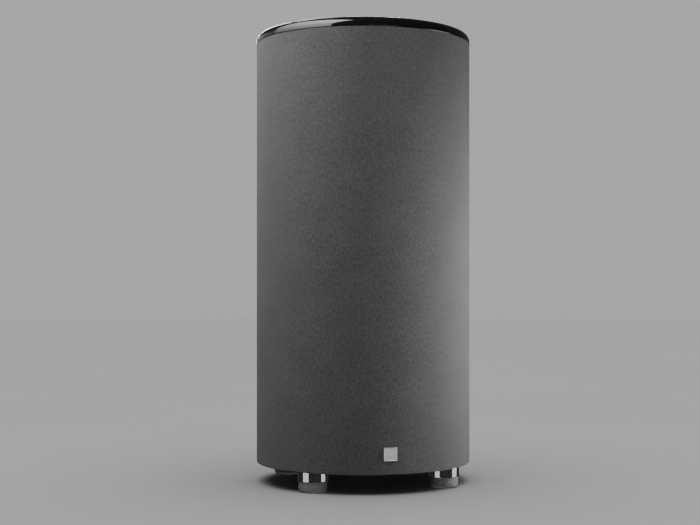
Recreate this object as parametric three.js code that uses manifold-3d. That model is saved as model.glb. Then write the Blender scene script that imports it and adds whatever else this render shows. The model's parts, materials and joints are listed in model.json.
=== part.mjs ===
// A cylindrical ported subwoofer: a fabric-wrapped tube on four feet, with a gloss cap and a flared
// port on top, a 12-inch driver firing at the floor and an amplifier module let into the back.
// Millimetres, +Z up. The origin is on the floor under the tube's axis, and the front faces -Y.
import * as THREE from "three";
import { mergeVertices } from "three/addons/utils/BufferGeometryUtils.js";
import Module from "manifold-3d";

const wasm = await Module();
wasm.setup();

// ---------------------------------------------------------------- driving dimensions

const BODY_R = 211; // outside of the fabric
const FOOT_H = 38.5; // floor to the underside of the cabinet
const BODY_H = 823.5; // fabric-wrapped height
const CAP_H = 19; // gloss cap
const GAP = 0.3; // between neighbouring solids

const FABRIC = 1.2;
const TUBE_R = BODY_R - FABRIC - GAP;
const TUBE_WALL = 10.5;
const BORE_R = TUBE_R - TUBE_WALL; // inside of the tube
const PANEL_R = BORE_R - GAP; // the wooden discs that close the tube
const BODY_TOP = FOOT_H + BODY_H;

const CAP_ROUND = 14; // radius over the cap's top edge
const CAP_SHELF = 8; // ledge inside the cap that carries the port's flange
const BULKHEAD = 22;
const BULKHEAD_HOLE_R = 60;
const BAFFLE = 25;
const LINING = 19; // wadding against the bore
const LINING_H = 435;

const PORT_R = 44.5; // air passage
const PORT_WALL = 3.3;
const PORT_BOTTOM = 400;
const FLARE_REACH = 31.5; // how far a flare opens past the passage
const FLARE_DEPTH = 40;
const FLARE_FLANGE_R = 88;
const FLARE_FLANGE = 4;
const FLARE_WALL = 3.4;
const FLARE_LAND = 3; // straight stretch between the tube's socket and the curve
const SOCKET = 18; // how far the port tube enters a flare

const FOOT_CIRCLE_R = 181.5;
const FOOT_R = 29;
const PAD_R = 27.3;
const PAD_H = 20.5;
const COLLAR_WALL = 2.4;
const COLLAR_ROOF = 4;
const STUD_R = 4;
const STUD_L = 18;

const FLANGE_R = 150.7; // driver basket
const FLANGE = 6;
const CUTOUT_R = 139.5;
const SCREW_CIRCLE_R = 143.8;
const DRIVER_SCREWS = 6;
const SCREW_HOLE_R = 2.8;
const TRIM_R = 137; // inside of the trim ring
const TRIM = 2.7;

// Depths behind the face of the driver's mounting flange, which looks down.
const CONE_R = 104;
const NECK_R = 32;
const NECK_DEPTH = 49;
const SHELF_DEPTH = 66; // basket shelf that the spider is glued to
const TOP_PLATE_DEPTH = 94.8;
const MAGNET_DEPTH = 105.3;
const YOKE_DEPTH = 145.3;
const YOKE_BACK = 156;
const POLE_DEPTH = 92;
const COIL = { formerR: 30.6, formerWall: 0.6, wire: 1.35, front: 48, back: 118, woundFrom: 84 };

const GAP_R = 33.4; // inside of the top plate
const TOP_PLATE_R = 80;
const TOP_PLATE = 10.2;
const MAGNET_R = 86;
const MAGNET_BORE_R = 42;
const YOKE_R = 78;
const POLE_R = 29.8;
const VENT_R = 12;

const AMP_Z = 245; // centre of the amplifier module
const AMP_FACE_Y = 189; // outer face of its plate
const PLATE = 3;
const PLATE_W = 171.4;
const PLATE_H = 271.4;
const BEZEL_R = 213; // outside of the curved rim
const BEZEL_W = 179; // the part of the frame inside the opening
const BEZEL_H = 279;
const BEZEL_RIM = 10.5; // how far the rim laps over the fabric
const SEAT = 5.7; // ledge that the plate is screwed to
const TRAY_W = 147;
const TRAY_H = 247;
const TRAY_D = 68;
const TRAY_WALL = 2;
const PLATE_SCREW_X = 79.5;
const PLATE_SCREW_Z = 129.5;
const PLATE_SCREW_R = 2.4; // clearance hole

const BOARD = 1.6;
const BOARD_W = 140;
const BOARD_H = 148;
const BOARD_RISE = 44; // a board's centre above or below the module's
const INPUT_BOARD_Y = 16; // depths behind the plate's face
const POWER_BOARD_Y = 52;
const SOCKET_BACK = INPUT_BOARD_Y - 0.7; // back of the sockets that stand on the input board

const BUTTON_R = 6.1;
const BUTTON_PITCH = 30;
const BUTTON_OUT = 2.2; // how far a key stands proud at rest
const JACK_PITCH = 21;
const SIDE_GAP = 0.4; // between a socket and its opening in the plate
const ROCKER_TILT = THREE.MathUtils.degToRad(7.5);
const ROCKER_PIVOT_Y = 4;

// Width and height of what stands in the plate's openings.
const WINDOW = [112, 40];
const USB = [13.4, 6];
const MODE_SLOT = [11.4, 5.2];
const INLET = [27.2, 19.8];
const ROCKER = [19, 29];

const BADGE = 25.4;
const BADGE_Z = 76;

const SEGMENTS = { big: 48, medium: 24, foot: 12, small: 8 };

// Centres of what the amplifier's plate carries, seen from behind: x to the right, z up.
const AT = {
  window: [0, 92],
  buttons: [0, 46],
  lineJacks: [-42, -4],
  trigger: [0, 8],
  usb: [0, -16],
  mode: [42, -4],
  inlet: [-36, -88],
  rocker: [38, -88],
};
const BUTTONS = ["minus", "select", "plus"];

// ---------------------------------------------------------------- materials

const paint = (color, roughness, metalness = 0) =>
  new THREE.MeshStandardMaterial({ color, roughness, metalness });

const MATERIALS = {
  knit: paint(0x3a3b3d, 0.95),
  fibreboard: paint(0x8a7358, 0.85),
  gloss: paint(0x0a0a0b, 0.08),
  moulded: paint(0x151517, 0.5),
  rubber: paint(0x1c1c1d, 0.85),
  chrome: paint(0xc9cbce, 0.08, 1),
  wadding: paint(0xd8d6cf, 1),
  cast: paint(0x2a2b2d, 0.5, 0.6),
  steel: paint(0x9a9c9f, 0.35, 1),
  blackSteel: paint(0x1b1b1d, 0.4, 0.8),
  ferrite: paint(0x2d2d30, 0.7),
  paper: paint(0x1a1a1c, 0.7),
  copper: paint(0xb4703a, 0.35, 1),
  spider: paint(0xc08a3e, 0.9),
  plate: paint(0x1d1e20, 0.45, 0.7),
  smoked: paint(0x08080a, 0.1),
  board: paint(0x1f5a35, 0.6),
  aluminium: paint(0xb9bbbe, 0.35, 1),
};

// ---------------------------------------------------------------- geometry helpers

const X = new THREE.Vector3(1, 0, 0);
const Y = new THREE.Vector3(0, 1, 0);
const Z = new THREE.Vector3(0, 0, 1);

// A turned solid about Z. Points are [radius, height], counter-clockwise with radius to the right.
function turned(points, segments = SEGMENTS.medium) {
  const profile = points.map(([r, z]) => new THREE.Vector2(r, z));
  const onAxis = profile[0].x === 0 && profile.at(-1).x === 0;
  if (!onAxis) profile.push(profile[0].clone());
  return new THREE.LatheGeometry(profile, segments).rotateX(Math.PI / 2);
}

function ring(inner, outer, height, segments = SEGMENTS.medium) {
  return turned([[inner, 0], [outer, 0], [outer, height], [inner, height]], segments);
}

function rod(radius, length, segments = SEGMENTS.small) {
  return turned([[0, 0], [radius, 0], [radius, length], [0, length]], segments);
}

// Points [radius, height] on an ellipse from angle a to b, in radians.
function arc([r, z], radiusR, radiusZ, a, b, steps) {
  return Array.from({ length: steps + 1 }, (_, i) => {
    const t = a + ((b - a) * i) / steps;
    return [r + radiusR * Math.cos(t), z + radiusZ * Math.sin(t)];
  });
}

// Turns a solid built along Z so that it runs along +Y.
const alongY = (geometry) => geometry.rotateX(-Math.PI / 2);

// A rounded rectangle standing in the XZ plane, from y0 to y1.
function slab(width, height, y0, y1, corner = 0) {
  const [w, h] = [width / 2, height / 2];
  const shape = new THREE.Shape();
  if (corner) {
    shape.absarc(w - corner, h - corner, corner, 0, Math.PI / 2);
    shape.absarc(corner - w, h - corner, corner, Math.PI / 2, Math.PI);
    shape.absarc(corner - w, corner - h, corner, Math.PI, 1.5 * Math.PI);
    shape.absarc(w - corner, corner - h, corner, 1.5 * Math.PI, 2 * Math.PI);
  } else {
    shape.setFromPoints([[w, h], [-w, h], [-w, -h], [w, -h]].map(([x, y]) => new THREE.Vector2(x, y)));
  }
  const options = { depth: y1 - y0, bevelEnabled: false, curveSegments: 2 };
  return new THREE.ExtrudeGeometry(shape, options).rotateX(Math.PI / 2).translate(0, y1, 0);
}

// An outline of [y, z] points carried along X, centred on X = 0.
function bar(outline, width) {
  const shape = new THREE.Shape(outline.map(([y, z]) => new THREE.Vector2(y, z)));
  return new THREE.ExtrudeGeometry(shape, { depth: width, bevelEnabled: false })
    .translate(0, 0, -width / 2)
    .applyMatrix4(new THREE.Matrix4().makeBasis(Y, Z, X));
}

function solid(geometry) {
  const bare = geometry.index ? geometry.toNonIndexed() : geometry.clone();
  for (const name of ["normal", "uv"]) bare.deleteAttribute(name);
  const merged = mergeVertices(bare, 1e-4);
  const vertProperties = merged.attributes.position.array;
  const triVerts = new Uint32Array(merged.index.array);
  return new wasm.Manifold(new wasm.Mesh({ numProp: 3, vertProperties, triVerts }));
}

function geometryOf(manifold) {
  const { vertProperties, triVerts } = manifold.getMesh();
  return new THREE.BufferGeometry()
    .setAttribute("position", new THREE.BufferAttribute(vertProperties, 3))
    .setIndex(new THREE.BufferAttribute(triVerts, 1));
}

const joined = (...pieces) => geometryOf(pieces.map(solid).reduce((a, b) => a.add(b)));
const cut = (body, ...tools) => geometryOf(tools.map(solid).reduce((a, b) => a.subtract(b), solid(body)));
const common = (a, b) => geometryOf(solid(a).intersect(solid(b)));

// Copies of a geometry at even steps round Z, starting at angle start.
function around(count, radius, start, make) {
  return Array.from({ length: count }, (_, i) => {
    const angle = start + (2 * Math.PI * i) / count;
    return make().translate(radius, 0, 0).rotateZ(angle);
  });
}

function piece(name, geometry, material, [x, y, z] = [0, 0, 0]) {
  const mesh = new THREE.Mesh(geometry, material);
  mesh.name = name;
  mesh.position.set(x, y, z);
  return mesh;
}

// ---------------------------------------------------------------- cabinet

// The block that opens the back of the tube and its fabric for the amplifier, about AMP_Z.
const ampOpening = (clearance) =>
  slab(BEZEL_W + clearance, BEZEL_H + clearance, 100, 240, 10);

function openShell(inner, outer) {
  const shell = ring(inner, outer, BODY_H, SEGMENTS.big);
  return cut(shell, ampOpening(1.6).translate(0, 0, AMP_Z - FOOT_H));
}

function topCap() {
  const ease = 1.2;
  return turned(
    [
      [FLARE_FLANGE_R - CAP_SHELF + GAP, 0],
      [BODY_R - ease, 0],
      [BODY_R, ease],
      ...arc([BODY_R - CAP_ROUND, CAP_H - CAP_ROUND], CAP_ROUND, CAP_ROUND, 0, Math.PI / 2, 4),
      [FLARE_FLANGE_R + GAP, CAP_H],
      [FLARE_FLANGE_R + GAP, CAP_H - FLARE_FLANGE - GAP],
      [FLARE_FLANGE_R - CAP_SHELF + GAP, CAP_H - FLARE_FLANGE - GAP],
    ],
    SEGMENTS.big,
  );
}

const footHole = () => rod(STUD_R + 0.4, STUD_L + 2);
const screwHole = () => rod(SCREW_HOLE_R, BAFFLE - 2, 8);

function bottomBaffle() {
  const rebate = FLANGE + GAP;
  const disc = turned(
    [
      [CUTOUT_R, rebate],
      [FLANGE_R + 0.5, rebate],
      [FLANGE_R + 0.5, 0],
      [PANEL_R, 0],
      [PANEL_R, BAFFLE],
      [CUTOUT_R, BAFFLE],
    ],
    SEGMENTS.big,
  );
  const studs = around(4, FOOT_CIRCLE_R, Math.PI / 4, () => footHole().translate(0, 0, -GAP));
  const screws = around(DRIVER_SCREWS, SCREW_CIRCLE_R, 0, screwHole);
  return cut(disc, ...studs, ...screws);
}

function cabinet() {
  const group = new THREE.Group();
  const bulkhead = ring(BULKHEAD_HOLE_R, PANEL_R, BULKHEAD - GAP, SEGMENTS.big);
  const lining = ring(BORE_R - LINING, BORE_R - 2 * GAP, LINING_H);
  group.add(
    piece("cabinet_tube", openShell(BORE_R, TUBE_R), MATERIALS.fibreboard, [0, 0, FOOT_H]),
    piece("fabric_sleeve", openShell(BODY_R - FABRIC, BODY_R), MATERIALS.knit, [0, 0, FOOT_H]),
    piece("top_cap", topCap(), MATERIALS.gloss, [0, 0, BODY_TOP]),
    piece("top_bulkhead", bulkhead, MATERIALS.fibreboard, [0, 0, BODY_TOP - BULKHEAD]),
    piece("bottom_baffle", bottomBaffle(), MATERIALS.fibreboard, [0, 0, FOOT_H]),
    piece("acoustic_lining", lining, MATERIALS.wadding, [0, 0, PORT_BOTTOM]),
    piece("badge", slab(BADGE, BADGE, -2, -0.1, 1), MATERIALS.aluminium, [0, -BODY_R, BADGE_Z]),
  );
  return group;
}

// ---------------------------------------------------------------- port

// A flare opening upwards, from its socket at height 0 to its lip, with a flange or a rolled edge.
function flare(flangeR) {
  const neck = SOCKET + FLARE_LAND;
  const tubeR = PORT_R + PORT_WALL;
  const lip = [PORT_R + FLARE_REACH, neck];
  const outer = [lip[0] + 3, neck];
  const backR = tubeR + GAP + FLARE_WALL;
  const rim = Math.PI / 2;
  const throat = Math.PI;
  return turned([
    [tubeR + GAP, 0],
    [backR, 0],
    ...arc(outer, outer[0] - backR, FLARE_DEPTH - FLARE_FLANGE, throat, rim, 3),
    [flangeR, neck + FLARE_DEPTH - FLARE_FLANGE],
    [flangeR, neck + FLARE_DEPTH],
    ...arc(lip, FLARE_REACH, FLARE_DEPTH, rim, throat, 4),
    [PORT_R, SOCKET],
    [tubeR + GAP, SOCKET],
  ]);
}

function port() {
  const group = new THREE.Group();
  const topSocket = BODY_TOP + CAP_H - FLARE_DEPTH - FLARE_LAND - SOCKET;
  const length = topSocket + SOCKET - GAP - PORT_BOTTOM;
  const inner = piece("port_flare_inner", flare(PORT_R + FLARE_REACH + 4), MATERIALS.moulded,
    [0, 0, PORT_BOTTOM + SOCKET - GAP]);
  inner.rotation.x = Math.PI;
  group.add(
    piece("port_flare_outer", flare(FLARE_FLANGE_R), MATERIALS.moulded, [0, 0, topSocket]),
    piece("port_tube", ring(PORT_R, PORT_R + PORT_WALL, length), MATERIALS.moulded, [0, 0, PORT_BOTTOM]),
    inner,
  );
  return group;
}

// ---------------------------------------------------------------- feet

function footCollar() {
  const height = FOOT_H - PAD_H;
  const [ceiling, cupR, ease] = [height - COLLAR_ROOF, FOOT_R - COLLAR_WALL, 0.6];
  return turned(
    [
      [0, ceiling],
      [cupR, ceiling],
      [cupR, 0],
      [FOOT_R, 0],
      [FOOT_R, height - ease],
      [FOOT_R - ease, height],
      [STUD_R, height],
      [STUD_R, height + STUD_L],
      [0, height + STUD_L],
    ],
    SEGMENTS.foot,
  );
}

function footPad() {
  const bossR = FOOT_R - COLLAR_WALL - 0.4;
  const bossTop = FOOT_H - COLLAR_ROOF - GAP;
  return turned(
    [
      [0, 0],
      [PAD_R - 5, 0],
      [PAD_R - 1.6, 1.4],
      [PAD_R, 5],
      [PAD_R, PAD_H - GAP],
      [bossR, PAD_H - GAP],
      [bossR, bossTop],
      [0, bossTop],
    ],
    SEGMENTS.foot,
  );
}

function feet() {
  const group = new THREE.Group();
  const reach = FOOT_CIRCLE_R * Math.SQRT1_2;
  for (const [row, sy] of [["front", -1], ["rear", 1]]) {
    for (const [side, sx] of [["left", -1], ["right", 1]]) {
      const foot = new THREE.Group();
      foot.position.set(sx * reach, sy * reach, 0);
      foot.add(
        piece(`foot_pad_${row}_${side}`, footPad(), MATERIALS.rubber),
        piece(`foot_collar_${row}_${side}`, footCollar(), MATERIALS.chrome, [0, 0, PAD_H]),
      );
      group.add(foot);
    }
  }
  return group;
}

// ---------------------------------------------------------------- driver
// Heights here are depths behind the face of the mounting flange.

function basket() {
  const flange = turned([[129.5, 0], [FLANGE_R, 0], [FLANGE_R, FLANGE], [138, FLANGE], [135, 20], [129.5, 20]]);
  const shelf = ring(79, 97, 3).translate(0, 0, SHELF_DEPTH);
  const back = ring(50, 88, 6.5).translate(0, 0, 88);
  const outline = [[130, 14], [135, 18], [87.5, 93], [76, 93], [76, 88.5]];
  const spoke = () => bar(outline, 12).rotateZ(-Math.PI / 2);
  const spokes = around(DRIVER_SCREWS, 0, Math.PI / DRIVER_SCREWS, spoke);
  const holes = around(DRIVER_SCREWS, SCREW_CIRCLE_R, 0, () => screwHole().translate(0, 0, -1));
  return cut(joined(flange, shelf, back, ...spokes), ...holes);
}

// A half roll between a land glued to the basket and a land glued to the cone.
function surround() {
  const [inner, outer, thickness, height] = [CONE_R + 0.5, 129.3, 1.2, 13];
  const centre = [(inner + outer) / 2, -0.9];
  const half = (outer - inner) / 2;
  const roll = (offset, a, b) =>
    arc(centre, half + offset, height + offset, a, b, 6).slice(1, -1);
  const [front, back] = [-0.3 - thickness, -0.3];
  const side = thickness / 2;
  return turned([
    [CONE_R - 5, front],
    [inner - side, front],
    ...roll(side, Math.PI, 2 * Math.PI),
    [outer + side, front],
    [136.5, front],
    [136.5, back],
    [outer - side, back],
    ...roll(-side, 2 * Math.PI, Math.PI),
    [inner + side, back],
    [CONE_R - 5, back],
  ]);
}

function cone() {
  const wall = 1.5;
  const face = [[NECK_R, NECK_DEPTH], [52, 32.5], [76, 15], [98, 0.9], [CONE_R, 0.3]];
  const rear = face.toReversed().map(([r, d]) => [r, d + wall]);
  return turned([...face, ...rear]);
}

function dustCap() {
  const [radius, rim, rise, wall] = [52, 31.2, 14, 1.2];
  const dome = (r, h, a, b) => arc([0, rim], r, h, a, b, 4);
  return turned([
    ...dome(radius, rise, -Math.PI / 2, 0).with(0, [0, rim - rise]),
    ...dome(radius - wall, rise - wall, 0, -Math.PI / 2).with(-1, [0, rim - rise + wall]),
  ]);
}

// The corrugated suspension that centres the coil.
function spider() {
  const [inner, outer, wall, ripple, steps] = [31.7, 84, 0.8, 2.2, 8];
  const depth = SHELF_DEPTH - 3.2;
  const line = Array.from({ length: steps + 1 }, (_, i) => {
    const swing = i > 0 && i < steps ? ripple * Math.sin((i * Math.PI) / 2) : 0;
    return [inner + ((outer - inner) * i) / steps, depth + swing];
  });
  const rear = line.toReversed().map(([r, d]) => [r, d + wall]);
  return turned([...line, ...rear]);
}

function socketScrew(headR, headH, shankR, length) {
  const turnedBlank = turned(
    [[0, 0], [headR, 0], [headR, headH], [shankR, headH], [shankR, headH + length], [0, headH + length]],
    SEGMENTS.small,
  );
  return cut(turnedBlank, rod(headR / 2, headH / 2 + 1, 6).translate(0, 0, -1));
}

function trimRing() {
  const holes = around(DRIVER_SCREWS, SCREW_CIRCLE_R, 0, () => rod(5.2, 6).translate(0, 0, -1));
  return cut(ring(TRIM_R, FLANGE_R, TRIM), ...holes);
}

function driver() {
  const group = new THREE.Group();
  group.position.z = FOOT_H;
  const formerR = COIL.formerR + COIL.formerWall;
  const yoke = turned([
    [VENT_R, POLE_DEPTH],
    [POLE_R, POLE_DEPTH],
    [POLE_R, YOKE_DEPTH],
    [YOKE_R, YOKE_DEPTH],
    [YOKE_R, YOKE_BACK],
    [VENT_R, YOKE_BACK],
  ]);
  group.add(
    piece("driver_basket", basket(), MATERIALS.cast),
    piece("driver_trim_ring", trimRing(), MATERIALS.rubber, [0, 0, -TRIM - GAP]),
    piece("driver_surround", surround(), MATERIALS.rubber),
    piece("driver_cone", cone(), MATERIALS.paper),
    piece("driver_dust_cap", dustCap(), MATERIALS.paper),
    piece("voice_coil_former", ring(COIL.formerR, formerR, COIL.back - COIL.front), MATERIALS.aluminium,
      [0, 0, COIL.front]),
    piece("voice_coil_winding", ring(formerR + 0.1, formerR + COIL.wire, COIL.back - COIL.woundFrom),
      MATERIALS.copper, [0, 0, COIL.woundFrom]),
    piece("driver_spider", spider(), MATERIALS.spider),
    piece("driver_top_plate", ring(GAP_R, TOP_PLATE_R, TOP_PLATE), MATERIALS.steel, [0, 0, TOP_PLATE_DEPTH]),
    piece("driver_magnet", ring(MAGNET_BORE_R, MAGNET_R, YOKE_DEPTH - GAP - MAGNET_DEPTH),
      MATERIALS.ferrite, [0, 0, MAGNET_DEPTH]),
    piece("driver_yoke", yoke, MATERIALS.blackSteel),
  );
  const block = piece("driver_terminals", slab(24, 14, -5, 5, 2), MATERIALS.moulded);
  const [blockR, blockAngle] = [115, Math.PI / DRIVER_SCREWS];
  block.position.set(blockR * Math.cos(blockAngle), blockR * Math.sin(blockAngle), SHELF_DEPTH);
  block.rotation.z = blockAngle + Math.PI / 2;
  group.add(block);
  for (let i = 0; i < DRIVER_SCREWS; i++) {
    const angle = (2 * Math.PI * i) / DRIVER_SCREWS;
    const [x, y] = [SCREW_CIRCLE_R * Math.cos(angle), SCREW_CIRCLE_R * Math.sin(angle)];
    const [headR, headH, shankR, length] = [4.4, 4, 2.5, 21];
    const screw = socketScrew(headR, headH, shankR, length);
    group.add(piece(`driver_screw_${i + 1}`, screw, MATERIALS.blackSteel, [x, y, -headH - GAP]));
  }
  return group;
}

// ---------------------------------------------------------------- amplifier
// The bezel is cut from the cabinet's own curve. Everything else stands in a frame seen from
// behind: x to the right, z up and y into the cabinet, from the plate's outer face.

function bezel() {
  const height = BEZEL_H + 2 * BEZEL_RIM;
  const upright = (geometry) => geometry.translate(0, 0, -height / 2);
  const rimBlock = slab(BEZEL_W + 2 * BEZEL_RIM, height, 100, 230, 14);
  const rim = common(upright(ring(BODY_R + GAP, BEZEL_R, height, SEGMENTS.big)), rimBlock);
  const seatBack = AMP_FACE_Y - PLATE - GAP - SEAT;
  const body = common(
    upright(rod(BEZEL_R, height, SEGMENTS.big)),
    slab(BEZEL_W, BEZEL_H, seatBack, 230, 9),
  );
  const well = slab(PLATE_W + 2 * GAP, PLATE_H + 2 * GAP, seatBack + SEAT, 240, 6);
  const window = slab(TRAY_W + 1, TRAY_H + 1, seatBack - 10, 240, 4);
  const hole = alongY(rod(PLATE_SCREW_R, 30)).translate(0, seatBack - 10, 0);
  const holes = plateScrewSpots().map(([x, z]) => hole.clone().translate(x, 0, z));
  return cut(joined(rim, body), well, window, ...holes);
}

function plateScrewSpots() {
  return [[-1, 1], [1, 1], [-1, -1], [1, -1]].map(([sx, sz]) => [sx * PLATE_SCREW_X, sz * PLATE_SCREW_Z]);
}

// A straight hole through the plate, or from y0 to y1.
const roundHole = ([x, z], radius, y0 = -1, y1 = PLATE + 1) =>
  alongY(rod(radius, y1 - y0)).translate(x, y0, z);
const slot = ([x, z], [width, height], corner = 0, y0 = -1, y1 = PLATE + 1) =>
  slab(width, height, y0, y1, corner).translate(x, 0, z);
const wider = ([width, height], by) => [width + by, height + by];

const JACKS = [[-1, 1], [1, 1], [-1, -1], [1, -1]].map((signs) => signs.map((s) => (s * JACK_PITCH) / 2));
const buttonX = (i) => AT.buttons[0] + (i - 1) * BUTTON_PITCH;
const shifted = ([x, z], [dx, dz]) => [x + dx, z + dz];

function faceplate() {
  return cut(
    slab(PLATE_W, PLATE_H, 0, PLATE, 5.5),
    slot(AT.window, wider(WINDOW, 2 * GAP), 3, -1, 1.6),
    slot(AT.window, [100, 30], 2),
    ...BUTTONS.map((_, i) => roundHole([buttonX(i), AT.buttons[1]], BUTTON_R + 0.5)),
    ...JACKS.map((offset) => roundHole(shifted(AT.lineJacks, offset), 6.7)),
    roundHole(AT.trigger, 3.7),
    slot(AT.usb, wider(USB, 2 * SIDE_GAP)),
    slot(AT.mode, MODE_SLOT),
    slot(AT.inlet, wider(INLET, 2 * SIDE_GAP), 2),
    slot(AT.rocker, wider(ROCKER, 2 * SIDE_GAP)),
    ...plateScrewSpots().map((spot) => roundHole(spot, PLATE_SCREW_R)),
  );
}

function tray() {
  const front = PLATE + GAP;
  const floor = front + TRAY_D - TRAY_WALL;
  const pan = cut(
    slab(TRAY_W, TRAY_H, front, front + TRAY_D, 4),
    slab(TRAY_W - 2 * TRAY_WALL, TRAY_H - 2 * TRAY_WALL, front - 1, floor, 3),
  );
  const post = (x, z, boardY) => {
    const y = boardY + BOARD + GAP;
    return alongY(rod(3.2, floor - y + 1)).translate(x, y, z);
  };
  const posts = [-64, 64].flatMap((x) => [
    post(x, -112, POWER_BOARD_Y),
    post(x, 24, POWER_BOARD_Y),
    post(x, 36, INPUT_BOARD_Y),
    post(x, 112, INPUT_BOARD_Y),
  ]);
  return joined(pan, ...posts);
}

function lineJackBlock() {
  const block = slab(46, 46, PLATE + GAP, SOCKET_BACK, 2);
  const collars = JACKS.map((spot) => roundHole(spot, 6.2, -1.2, PLATE + 1));
  const shells = JACKS.map((spot) => roundHole(spot, 4.2, -9, 1));
  const bores = JACKS.map((spot) => roundHole(spot, 3, -10, -2.5));
  return cut(joined(block, ...collars, ...shells), ...bores);
}

function triggerJack() {
  const nutY = -2.6;
  const nut = alongY(rod(5.4, 2.3, 6)).translate(0, nutY, 0);
  const bush = roundHole([0, 0], 3.3, nutY, 6);
  const body = slab(11, 12, PLATE + GAP, SOCKET_BACK, 1);
  return cut(joined(nut, bush, body), roundHole([0, 0], 1.8, -3, 11));
}

function usbPort() {
  const wall = 0.8;
  const shell = cut(slab(...USB, -0.6, SOCKET_BACK), slab(...wider(USB, -2 * wall), -1, 12));
  const tongue = slab(9.6, 1.5, 1.4, 12.5);
  return joined(shell, tongue);
}

function modeSwitchBody() {
  return cut(slab(20, 11, PLATE + GAP, 12.3, 1), slab(...MODE_SLOT, 0, 9.6));
}

function powerInlet() {
  const flange = slab(48, 27, -2.8, -GAP, 4);
  const shell = joined(flange, slab(...INLET, -1, 28, 1.5));
  const blades = [[-7, -2], [7, -2], [0, 3]].map(([x, z]) => slab(2, 4.4, 2, 16).translate(x, 0, z));
  const mouth = slab(23.4, 15.8, -4, 15, 3);
  return joined(cut(shell, mouth), ...blades);
}

function rockerFrame() {
  const shell = joined(slab(24, 34, -2.4, -GAP, 2), slab(...ROCKER, -1, 20));
  const pivot = alongY(rod(1.8, 30)).rotateZ(Math.PI / 2).translate(15, ROCKER_PIVOT_Y, 0);
  return cut(shell, slab(16, 26, -4, 16), pivot);
}

// The rocker about its own pivot, level. It stands tilted to "off" in the assembly.
function rocker() {
  const half = [[-8, 11.6], [-2, 11.2], [4, 5]];
  const outline = [[-6, 0], ...half, [5, 0], ...half.toReversed().map(([y, z]) => [y, -z])];
  const pin = alongY(rod(1.5, 18)).rotateZ(Math.PI / 2).translate(9, 0, 0);
  return joined(bar(outline, 15.2), pin);
}

function button() {
  return alongY(
    turned(
      [[0, 0], [BUTTON_R - 0.7, 0], [BUTTON_R, 0.7], [BUTTON_R, 5.6], [7.6, 5.6], [7.6, 7], [2, 7], [2, 16.6],
        [0, 16.6]],
      SEGMENTS.foot,
    ),
  );
}

function heatSink() {
  const [fins, pitch, fin, height, depth, base] = [11, 11.4, 2.4, 70, 14.6, 3.6];
  const span = ((fins - 1) * pitch) / 2;
  const root = slab(2 * span + fin, height, 0, base);
  const blades = Array.from({ length: fins }, (_, i) =>
    slab(fin, height, base - 0.5, depth).translate(i * pitch - span, 0, 0));
  return joined(root, ...blades);
}

function transformer() {
  const core = slab(46, 40, 2, 27.7, 1);
  const bobbin = slab(34, 50, 5, 24, 3);
  return joined(core, bobbin);
}

function amplifier() {
  const group = new THREE.Group();
  group.position.set(0, AMP_FACE_Y, AMP_Z);
  group.rotation.z = Math.PI;
  const spot = ([x, z], y = 0) => [x, y, z];
  const board = slab(BOARD_W, BOARD_H, 0, BOARD, 2);
  const canY = 22;
  const can = alongY(rod(15, POWER_BOARD_Y - GAP - canY, SEGMENTS.foot));
  const rockerMesh = piece("power_rocker", rocker(), MATERIALS.moulded, spot(AT.rocker, ROCKER_PIVOT_Y));
  rockerMesh.rotation.x = ROCKER_TILT;
  group.add(
    piece("amp_faceplate", faceplate(), MATERIALS.plate),
    piece("amp_housing", tray(), MATERIALS.blackSteel),
    piece("indicator_window", slab(...WINDOW, 0, 1.3, 2.7), MATERIALS.smoked, spot(AT.window)),
    piece("line_jack_block", lineJackBlock(), MATERIALS.moulded, spot(AT.lineJacks)),
    piece("trigger_jack", triggerJack(), MATERIALS.steel, spot(AT.trigger)),
    piece("usb_port", usbPort(), MATERIALS.steel, spot(AT.usb)),
    piece("mode_switch_body", modeSwitchBody(), MATERIALS.moulded, spot(AT.mode)),
    piece("mode_slider", slab(4.4, 4.4, -2.6, 9), MATERIALS.moulded, spot(AT.mode)),
    piece("power_inlet", powerInlet(), MATERIALS.moulded, spot(AT.inlet)),
    piece("rocker_frame", rockerFrame(), MATERIALS.moulded, spot(AT.rocker)),
    rockerMesh,
    piece("input_board", board, MATERIALS.board, [0, INPUT_BOARD_Y, BOARD_RISE]),
    piece("power_board", board.clone(), MATERIALS.board, [0, POWER_BOARD_Y, -BOARD_RISE]),
    piece("transformer", transformer(), MATERIALS.ferrite, [0, POWER_BOARD_Y - 28, -14]),
    piece("reservoir_capacitor", can, MATERIALS.moulded, [-48, canY, -14]),
    piece("heat_sink", heatSink(), MATERIALS.aluminium, [0, POWER_BOARD_Y + BOARD + GAP, -BOARD_RISE]),
  );
  BUTTONS.forEach((name, i) => {
    const place = [buttonX(i), -BUTTON_OUT, AT.buttons[1]];
    group.add(piece(`button_${name}`, button(), MATERIALS.moulded, place));
  });
  plateScrewSpots().forEach(([x, z], i) => {
    const [headR, headH, shankR, length] = [4, 2.4, 2, 8.6];
    const screw = alongY(socketScrew(headR, headH, shankR, length));
    group.add(piece(`plate_screw_${i + 1}`, screw, MATERIALS.blackSteel, [x, -headH - GAP, z]));
  });
  return group;
}

// ---------------------------------------------------------------- assembly

const subwoofer = new THREE.Group();
subwoofer.name = "subwoofer";
subwoofer.add(
  cabinet(),
  port(),
  feet(),
  driver(),
  piece("amp_bezel", bezel(), MATERIALS.moulded, [0, 0, AMP_Z]),
  amplifier(),
);

export default subwoofer;
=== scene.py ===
import json
import math

import bmesh
import bpy
from mathutils import Matrix, Vector, noise


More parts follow.
